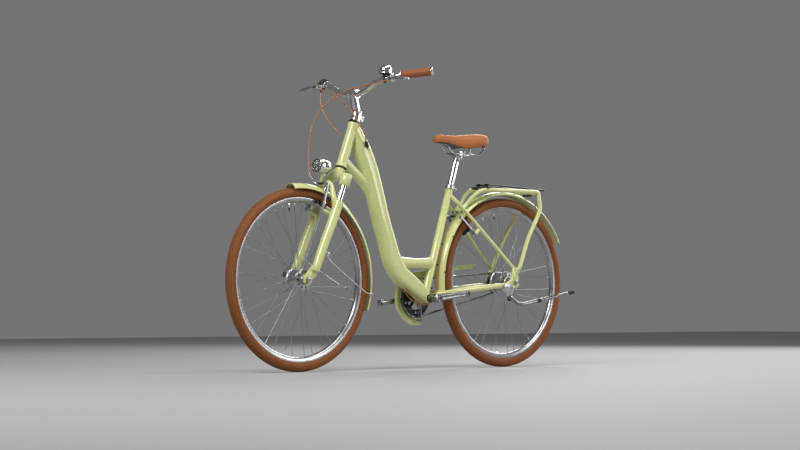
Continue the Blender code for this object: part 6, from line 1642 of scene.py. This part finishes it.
def cable_level(end):
    """The middle of a brake cable's last stretch, which lies on the tips of the arms."""
    pivot, up, _ = BRAKES[end]
    return pivot + up * (ARM_LENGTH + CORD_GAP + CORD_R)


def noodle(end):
    """The last stretch of a brake cable, from its bend to the far arm."""
    level = cable_level(end)
    if end == "front":
        bend = [head(80, -44, -88.5), level + HEAD_FORWARD * 4 - SIDE * 34.5, level - SIDE * 24]
    else:
        bend = [level + Vector((5.5, -36.5, 3.5)), level - SIDE * 26]
    return [*bend, level, level + SIDE * 34]


CORD_SPACING = 6


def declare_cord(housing):
    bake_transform(housing)


def make_cord(name, node, route, bare=0):
    """A housed cable along its route.

    Its last stretch, of the length bare, is the thin inner wire alone.
    """
    path = smooth_path(route, CORD_SPACING)
    left = [path_length(path[index:]) for index in range(len(path))]
    made = Piece(HOUSING)
    made.tube(path, [CORD_R if rest > bare else 0.9 for rest in left], 4)
    declare_cord(made.done(name, None, "housing", [node]))
    return path


def make_cables():
    at_frame = ("frame_body", "steering_body", head(0, 0, 165), head(0, 0, 320))
    at_fork = ("fork_lower_body", "steering_body", head(60, 0, -20), head(20, 0, 220))
    brakes = (("front", 1, FRONT_CABLE, at_fork), ("rear", -1, REAR_CABLE, at_frame))
    paths = []
    for end, side, route, bend in brakes:
        start = cable_mouth(side) + cable_start(side) * CORD_GAP
        paths.append(make_cord(end + "_brake_housing", end + "_brake_cable",
                               [start, *route, *noodle(end)], BARE_WIRE))
    for path, (end, _, route, bend) in zip(paths, brakes):
        make_noodle(end, bend[0], path, Vector(route[-1]))
    make_cord("gear_housing", "shift_cable", [SHIFTER_EXIT + SHIFTER_WAY * CORD_GAP, SHIFTER_EXIT
                                              + SHIFTER_WAY * 10, *SHIFT_CABLE])


def make_noodle(end, body, path, lead):
    """A brake's bent metal guide pipe, the rubber boot beyond it, and the bare wire's clamp."""
    level = cable_level(end)
    first = min(range(len(path)), key=lambda index: (path[index] - lead).length)
    last = min(range(len(path)), key=lambda index: (path[index] - level + SIDE * 20).length)
    pipe = path[first:last + 1]
    made = Piece(POLISHED)
    made.tube(pipe, 3.1, 5)
    along = (pipe[1] - pipe[0]).normalized()
    made.pin(pipe[0], along, -8, 4, (4, 3.6))
    made.finish(RUBBER)
    made.turned([(1, 0), (3.6, 0), (5.2, 4), (4.2, 6), (5.6, 10), (4.4, 12), (5.8, 16), (4.4, 18),
                 (5.6, 22), (4.2, 24), (3, 31), (1, 31)], level - SIDE * 21.5, SIDE, 32)
    made.finish(STEEL)
    made.pin(level, SIDE, 9, 40.5, 1.1, 12)
    made.pin(level, SIDE, 31, 40.5, (3.1, 2.2), 16)
    made.done(end + "_brake_pipe_and_boot", body, "polished")


# The point below the saddle's rear edge, level with its lowest skirt
SADDLE_ORIGIN = seat(-108.5, 0, 686)
# The saddle's stations from the rear: (forward, half width, top, skirt, base)
SADDLE_STATIONS = [(0, 48, 48, 31, 38), (8, 70, 56.5, 22, 36), (35, 84.5, 60.5, 11, 33),
                   (75, 81.5, 58, 0.5, 28), (115, 60, 52.5, -4, 24), (150, 39, 49, 4, 24),
                   (195, 27.5, 49.2, 15, 24), (228, 22.8, 49.2, 16.5, 25.5), (243, 19, 45.2, 16.5,
                                                                              26), (251, 13.8, 38.4,
                                                                                    16.8, 26.2),
                   (255, 7.2, 29.5, 17.5, 26.5),]


def saddle_rows(count):
    """The stations made closer on a smooth curve: (forward, half width, top, skirt, base)."""
    tops = smooth_path([(x, width, top) for x, width, top, _, _ in SADDLE_STATIONS], 2)
    lows = smooth_path([(x, skirt, base) for x, _, _, skirt, base in SADDLE_STATIONS], 2)

    def at(path, x):
        for a, b in zip(path, path[1:]):
            if a.x <= x <= b.x and b.x > a.x:
                return a.lerp(b, (x - a.x) / (b.x - a.x))
        return path[-1] if x > path[-1].x else path[0]

    rows = []
    for index in range(count):
        share = index / (count - 1)
        eased = (1 - math.cos(math.pi * share)) / 2 * 0.6 + share * 0.4
        x = SADDLE_STATIONS[-1][0] * eased
        top, low = at(tops, x), at(lows, x)
        rows.append((x, top.y, top.z, low.y, low.z))
    return rows


HOLLOW_END = 245


def saddle_ring(x, half):
    """A whole section of the saddle, from the half at the left."""
    return [SADDLE_ORIGIN + Vector((x, y, z))
            for y, z in [*half, *[(-y, z) for y, z in reversed(half[1:-1])]]]


def make_saddle_cover():
    """The padded leather cover, rolled under its skirt, with a seam round it."""
    origin = SADDLE_ORIGIN
    rings, seam = [], []
    for x, width, top, skirt, base in saddle_rows(34):
        crown = top - skirt
        hollow = base + 0.4 if x < HOLLOW_END else skirt + 0.8
        half = [(0.00, top), (0.14, top - 0.001 * crown), (0.28, top - 0.006 * crown),
                (0.42, top - 0.022 * crown), (0.56, top - 0.05 * crown),
                (0.70, top - 0.095 * crown), (0.82, top - 0.17 * crown),
                (0.91, top - 0.28 * crown), (0.97, skirt + 0.55 * crown),
                (0.995, skirt + 0.36 * crown), (0.998, skirt + 0.20 * crown),
                (0.975, skirt + 0.07 * crown), (0.93, skirt + 0.005 * crown),
                (0.87, skirt + 0.05 * crown), (0.845, hollow), (0.00, hollow)]
        rings.append(saddle_ring(x, [(y * width, z) for y, z in half]))
        seam.append(origin + Vector((x, 0.998 * width, skirt + 0.24 * crown)))
    made = Piece(SADDLE)
    made.loft(rings)
    made.finish(THREAD)
    edge = [*seam[1:-1], origin + Vector((SADDLE_STATIONS[-1][0] + 0.2, 0, 20.6))]
    route = [*edge, *[sided(point, -1) for point in reversed(edge[:-1])]]
    made.tube(smooth_path(route, 6), 0.5, 2)
    piece = made.done("saddle_cover_leather", "saddle", "saddle_skin", ["saddle_cover"], crease=60)


def rail_route():
    origin = SADDLE_ORIGIN
    half = [(10, 40, 5), (10, 40, -6), (26, 30, -23.5), (55, 23, -25), (90, 22, -25),
            (163, 22, -25), (180, 20.5, -14), (194, 16, 6), (203, 7, 13.5)]
    return [origin + Vector(place) for place in half]


def make_saddle_frame():
    """The saddle's moulded base and its bent wire rails."""
    origin = SADDLE_ORIGIN
    made = Piece(BLACK)
    rings = []
    for x, width, _, skirt, base in saddle_rows(26)[1:-3]:
        edge, low, base = 0.862 * width, skirt + 1.4, base - 0.8
        half = [(0, base), (edge * 0.6, base), (edge - 0.8, base), (edge, base - 0.8),
                (edge, low + 0.8), (edge - 0.8, low), (edge * 0.62, low),
                (edge * 0.58, low + 1.6), (0, low + 1.6)]
        rings.append(saddle_ring(x, half))
    made.loft(rings)
    for side in BOTH:
        foot = sided(rail_route()[0], side)
        made.pin(foot, UP, 0.3, 31, (7.8, 6.8), 32, 1)
        made.box(foot + Vector((12, 0, 26)), (22, 3, 10), edge=0.8)
    made.pin(origin + Vector((205, 0, 17.3)), UP, 0, 13.8, 8.8, 32, 1)
    made.done("saddle_underside", "saddle", "black_plastic", ["saddle_base"], crease=35)
    made = Piece(STEEL)
    route = both_ways(rail_route())
    made.tube(smooth_path(route, 6), 3.4, 6)
    made.done("saddle_wire_rails", "saddle", "steel", ["saddle_rails"])


def make_seatpost():
    """A polished post with its two-plate rail clamp."""
    origin = SADDLE_ORIGIN
    rail = origin.z - 25
    centre = seat(0, 0, 621)
    low = rail - 12.5
    made = Piece(POLISHED)
    made.rod(seat(0, 0, 360), seat(0, 0, 613.5), 13.5, 56, 1)
    lower, upper = Vector((centre.x, 0, low)), Vector((centre.x, 0, rail + 0.2))
    made.pin(lower, SIDE, -19.7, 19.7, 13.8, 48, 1.6)
    made.loft([ring(seat(0, 0, s), SEAT_FORWARD, SIDE, d, w, 40, p) for s, d, w, p in
               ((592, 13.8, 13.8, 2.0), (600, 13.9, 14.6, 2.1),
                (607, 13.6, 16.5, 2.4), (612, 13, 17.8, 2.8))])
    for side in BOTH:
        for rise, high in ((-4.8, 8.8), (5.8, 9)):
            made.box(Vector((centre.x, side * 22, rail + rise)), (33.5, 15.5, high), edge=1.4)
    made.box(Vector((centre.x, 0, rail - 5.2)), (30, 40, 7.6), edge=1.4)
    made.finish(STEEL)
    made.pin(upper, SIDE, -29.8, 29.8, 4.2, 20)
    for side in BOTH:
        made.pin(lower, SIDE * side, 24.5, 20, 6.6, 6)
        made.pin(upper, SIDE * side, 29, 30, 7.2, 6)
    made.finish(CHROME)
    made.sleeve(seat(0, 0, 470), seat(0, 0, 470.4), 13.7, 13.4, 48, 0.1)
    made.done("seatpost_and_clamp", "saddle", "polished", ["seatpost"])


CLIP_X = 117.5
# A hair under 8, so that a stretch of 20 is always cut in three
RAIL_SPACING = 7.99


def rack_place(x, y, rise):
    """A point on the rack, given from the rear axle, with its height from the deck's middle."""
    return REAR_AXLE + Vector((x, y, RACK_RISE + rise))


def make_rack():
    """The tubular carrier: bent rail, struts with flattened ends, cross bars, and clip block."""
    bridge, _, along = STAY_BRIDGE
    foot = bridge - along * 6.3
    half = [foot + SIDE * 18, foot - along * 20 + SIDE * 18, foot - along * 40 + SIDE * 18.5]
    half += [rack_place(*place) for place in (
        (200, 27, -30), (162.5, 35, -5.5), (122.5, 44, 0), (62.5, 54, 0),
        (12.5, 58.5, 0), (-37.5, 60, 0), (-95, 60, 0), (-148, 59.5, 0),
        (-164.8, 51, 0), (-172.2, 34, 0), (-172.2, 14, 0))]
    made = Piece(PAINT)
    made.tube(smooth_path(both_ways(half), RAIL_SPACING), 8.8, 7)
    for side in BOTH:
        route = [(-157, 60, -2), (-159, 64.5, -30), (-160, 66.5, -76)]
        places = [sided(rack_place(*place), side) for place in route]
        *more, end, tip = [REAR_AXLE + sided(place, side) for place in (
            (-123, 69, 245), (-81.5, 71.5, 181), (-22.5, 80.6, 64), (-5.5, 75.2, 32))]
        made.tube(smooth_path([*places, *more, end], 10), 8.8, 7)
        run = (tip - end).normalized()
        rings = []
        for share, wide, thin, power in ((0, 8.8, 8.8, 2.0), (0.25, 9.4, 7.8, 2.2),
                                         (0.55, 10.4, 4.4, 2.8), (0.8, 10.8, 2.5, 3.4),
                                         (1.0, 11, 2, 4.0)):
            spot = end.lerp(tip, share)
            rings.append(ring(spot, run.cross(SIDE).normalized(), SIDE, wide, thin, 32, power))
        made.loft(rings)
        outline = [*arc((0, 0), 11.3, 170, 350, 17), (9.8, 30), (8, 44), (-15, 44), (-15, 20)]
        made.plate(outline, REAR_AXLE + SIDE * side * 74.8, AHEAD, UP, 3.8, 0.6,
                   holes=[circle(5.3, 24)])
        made.finish(BLACK)
        made.box(rack_place(CLIP_X, side * 21, 18.5), (13.5, 3.5, 19), edge=1)
        made.pin(rack_place(CLIP_X, 0, 22), SIDE * side, 19.25, 22.75, 6.8, 32)
        made.finish(PAINT)
    for x in (10, -80):
        made.pin(rack_place(x, 0, 3), SIDE, -57.5, 57.5, 4)
    made.done("carrier_rails", "frame_body", "paint", ["rear_rack"])
    made = Piece(BLACK)
    made.box(rack_place(CLIP_X, 0, 11.2), (45, 96, 6), edge=1.6)
    for side in BOTH:
        made.box(rack_place(CLIP_X, side * 44, 6), (40, 12, 15), edge=2)
        made.finish(STEEL)
        made.pin(rack_place(CLIP_X, side * 32, 0), UP, 13.6, 15.8, 4, 6)
        made.finish(BLACK)
    made.done("carrier_clip_block", "frame_body", "black_plastic")


def make_rack_clip():
    """The sprung wire that holds a load down, with its coil round the pin."""
    rest = 12.3
    half = [(CLIP_X, 33.5, 22), (60, 34, 21), (-50, 33, 17.8), (-172.5, 31, rest), (-220, 30, rest),
            (-237, 26.5, rest), (-242.5, 18, rest)]
    made = Piece(DARK_METAL)
    made.tube(smooth_path(both_ways([rack_place(*place) for place in half]), 7), 2.9, 6)
    made.pin(rack_place(CLIP_X, 0, 22), SIDE, -34, 34, 3)
    for side in BOTH:
        made.tube([rack_place(CLIP_X, side * (24.5 + 8.5 * turn / 60), 22) + facing(30 * turn) * 4.4
                   for turn in range(61)], 1.1, 3)
    made.done("carrier_spring_clip", "rack_spring_clip", "black_metal", ["rack_clip"])


def make_lamp_leads():
    """The lamp's lead down the right leg, and the small clips that hold cables to the bike."""
    made = Piece(BLACK)
    route = [LAMP_REAR + Vector((4, -6, -16)), LAMP_REAR + Vector((2, -20, -36)),
             head(34, -48, -90), head(20, -73.5, -140),
             head(19, -74.5, -230), head(23.5, -73.5, -320),
             head(30, -71.5, -400), FRONT_AXLE + Vector((19, -64, 30))]
    made.tube(smooth_path(route, 8), 1.3, 3)
    made.box(FRONT_AXLE + Vector((15, -65.5, 20)), (13, 6, 18), edge=1.4)
    for s, u, outer in ((-200, 8.5, 16.8), (-330, 16.5, 15.8)):
        spot = leg(-1, s, u)
        made.sleeve(spot - HEAD_UP * 1.4, spot + HEAD_UP * 1.4, outer, 12, 40, 0.4)
    made.done("lamp_lead_and_ties", "fork_lower_body", "black_plastic")


def make_small_fittings():
    """Guard rivets, cable clips and the reflector under the carrier's rear edge."""
    made = Piece(BLACK)
    for degrees in (118, 104, 62, 30, 6):
        for side in BOTH:
            made.box(polar(REAR_AXLE, REAR_GUARD_R - 10.5, degrees, side * GUARD_HALF),
                     (5.5, 3.4, 4.2), facing(degrees + 90), facing(degrees), 0.8)
    for rise in (50, 150, 240):
        made.box(seat(-19.5, 9.7, rise), (5, 7.5, 6), SEAT_FORWARD, SEAT_UP, 1)
    made.box(rack_place(-153, 0, -12.5), (18, 40, 10), edge=2)
    made.finish(REFLECTOR)
    made.box(rack_place(-161.6, 0, -12.5), (1.6, 36, 7.5), edge=0.4)
    made.done("guard_clips_and_reflector", "frame_body", "black_plastic")


def place_camera():
    """The camera at the photo's angle, and low down; its place is in metres."""
    camera = bpy.data.cameras.new("camera")
    camera.sensor_width = 36
    camera.lens = 94.16
    camera.clip_end = 60
    holder = linked(bpy.data.objects.new("camera", camera))
    yaw, pitch = math.radians(223.322), math.radians(2.3652)
    look = Vector((math.sin(yaw) * math.cos(pitch), math.cos(yaw) * math.cos(pitch),
                   math.sin(pitch)))
    right = look.cross(UP).normalized()
    holder.matrix_world = placed((5.7842, 6.104, 0.2317), right, right.cross(look), -look)
    bpy.context.scene.camera = holder


BIKE_MIDDLE = 0.55


def light(name, place, size, power):
    """A wide soft lamp that is turned to the bike's middle, in metres and watts."""
    lamp = bpy.data.lights.new(name, "AREA")
    lamp.shape = "RECTANGLE"
    lamp.size, lamp.size_y = size
    lamp.energy = power
    holder = linked(bpy.data.objects.new(name, lamp))
    toward = (UP * BIKE_MIDDLE - Vector(place)).normalized()
    holder.rotation_mode = "QUATERNION"
    holder.rotation_quaternion = toward.to_track_quat("-Z", "Y")
    holder.location = place


def make_studio():
    """A flat pale floor, soft lights, and a pale surround, in metres."""
    half_width, half_depth = 14, 9
    work = bmesh.new()
    work.faces.new([work.verts.new((x * half_width, y * half_depth, 0))
                    for x, y in ((-1, 1), (1, 1), (1, -1), (-1, -1))])
    bmesh.ops.recalc_face_normals(work, faces=work.faces)
    mesh = bpy.data.meshes.new("studio_floor")
    work.to_mesh(mesh)
    work.free()
    mesh.materials.append(FLOOR)
    floor = linked(bpy.data.objects.new("studio_floor", mesh))
    light("key", (4.8, 1.8, 4.2), (2.6, 1.8), 235)
    light("top", (-0.3, 1.6, 4.4), (3.4, 1.2), 85)
    light("rim", (-4.2, -2.6, 3.0), (2.0, 1.6), 100)
    light("rear_left", (-3.4, 4.6, 2.0), (1.0, 2.6), 60)
    light("back_edge", (-5.4, 0.4, 1.9), (3.6, 3.0), 110)
    world = bpy.data.worlds.new("surround")
    world.use_nodes = True
    glow = world.node_tree.nodes["Background"].inputs
    glow["Color"].default_value = (0.86, 0.87, 0.88, 1)
    glow["Strength"].default_value = 0.20
    bpy.context.scene.world = world
    bpy.context.scene.view_settings.view_transform = "Standard"


place_camera()
make_cables()
make_wheels()
make_frame()
make_headset()
make_seat_clamp()
make_rear_mudguard()
make_fork_upper()
make_fork_lowers()
make_front_mudguard()
make_headlamp()
make_handlebar()
make_stem()
make_grips()
make_shifter()
for word, side in WORDS.items():
    make_perch(word, side)
for word, side in WORDS.items():
    make_lever(word, side)
make_bell()
make_toothed_wheels()
make_chain()
make_bottom_bracket()
make_cranks()
make_chain_guard()
make_stand()
for end in BRAKES:
    for word, side in WORDS.items():
        make_brake_arm(end, word, side)
make_seatpost()
make_saddle_frame()
make_saddle_cover()
make_rack()
make_rack_clip()
make_lamp_leads()
make_small_fittings()
make_studio()

bpy.context.view_layer.update()
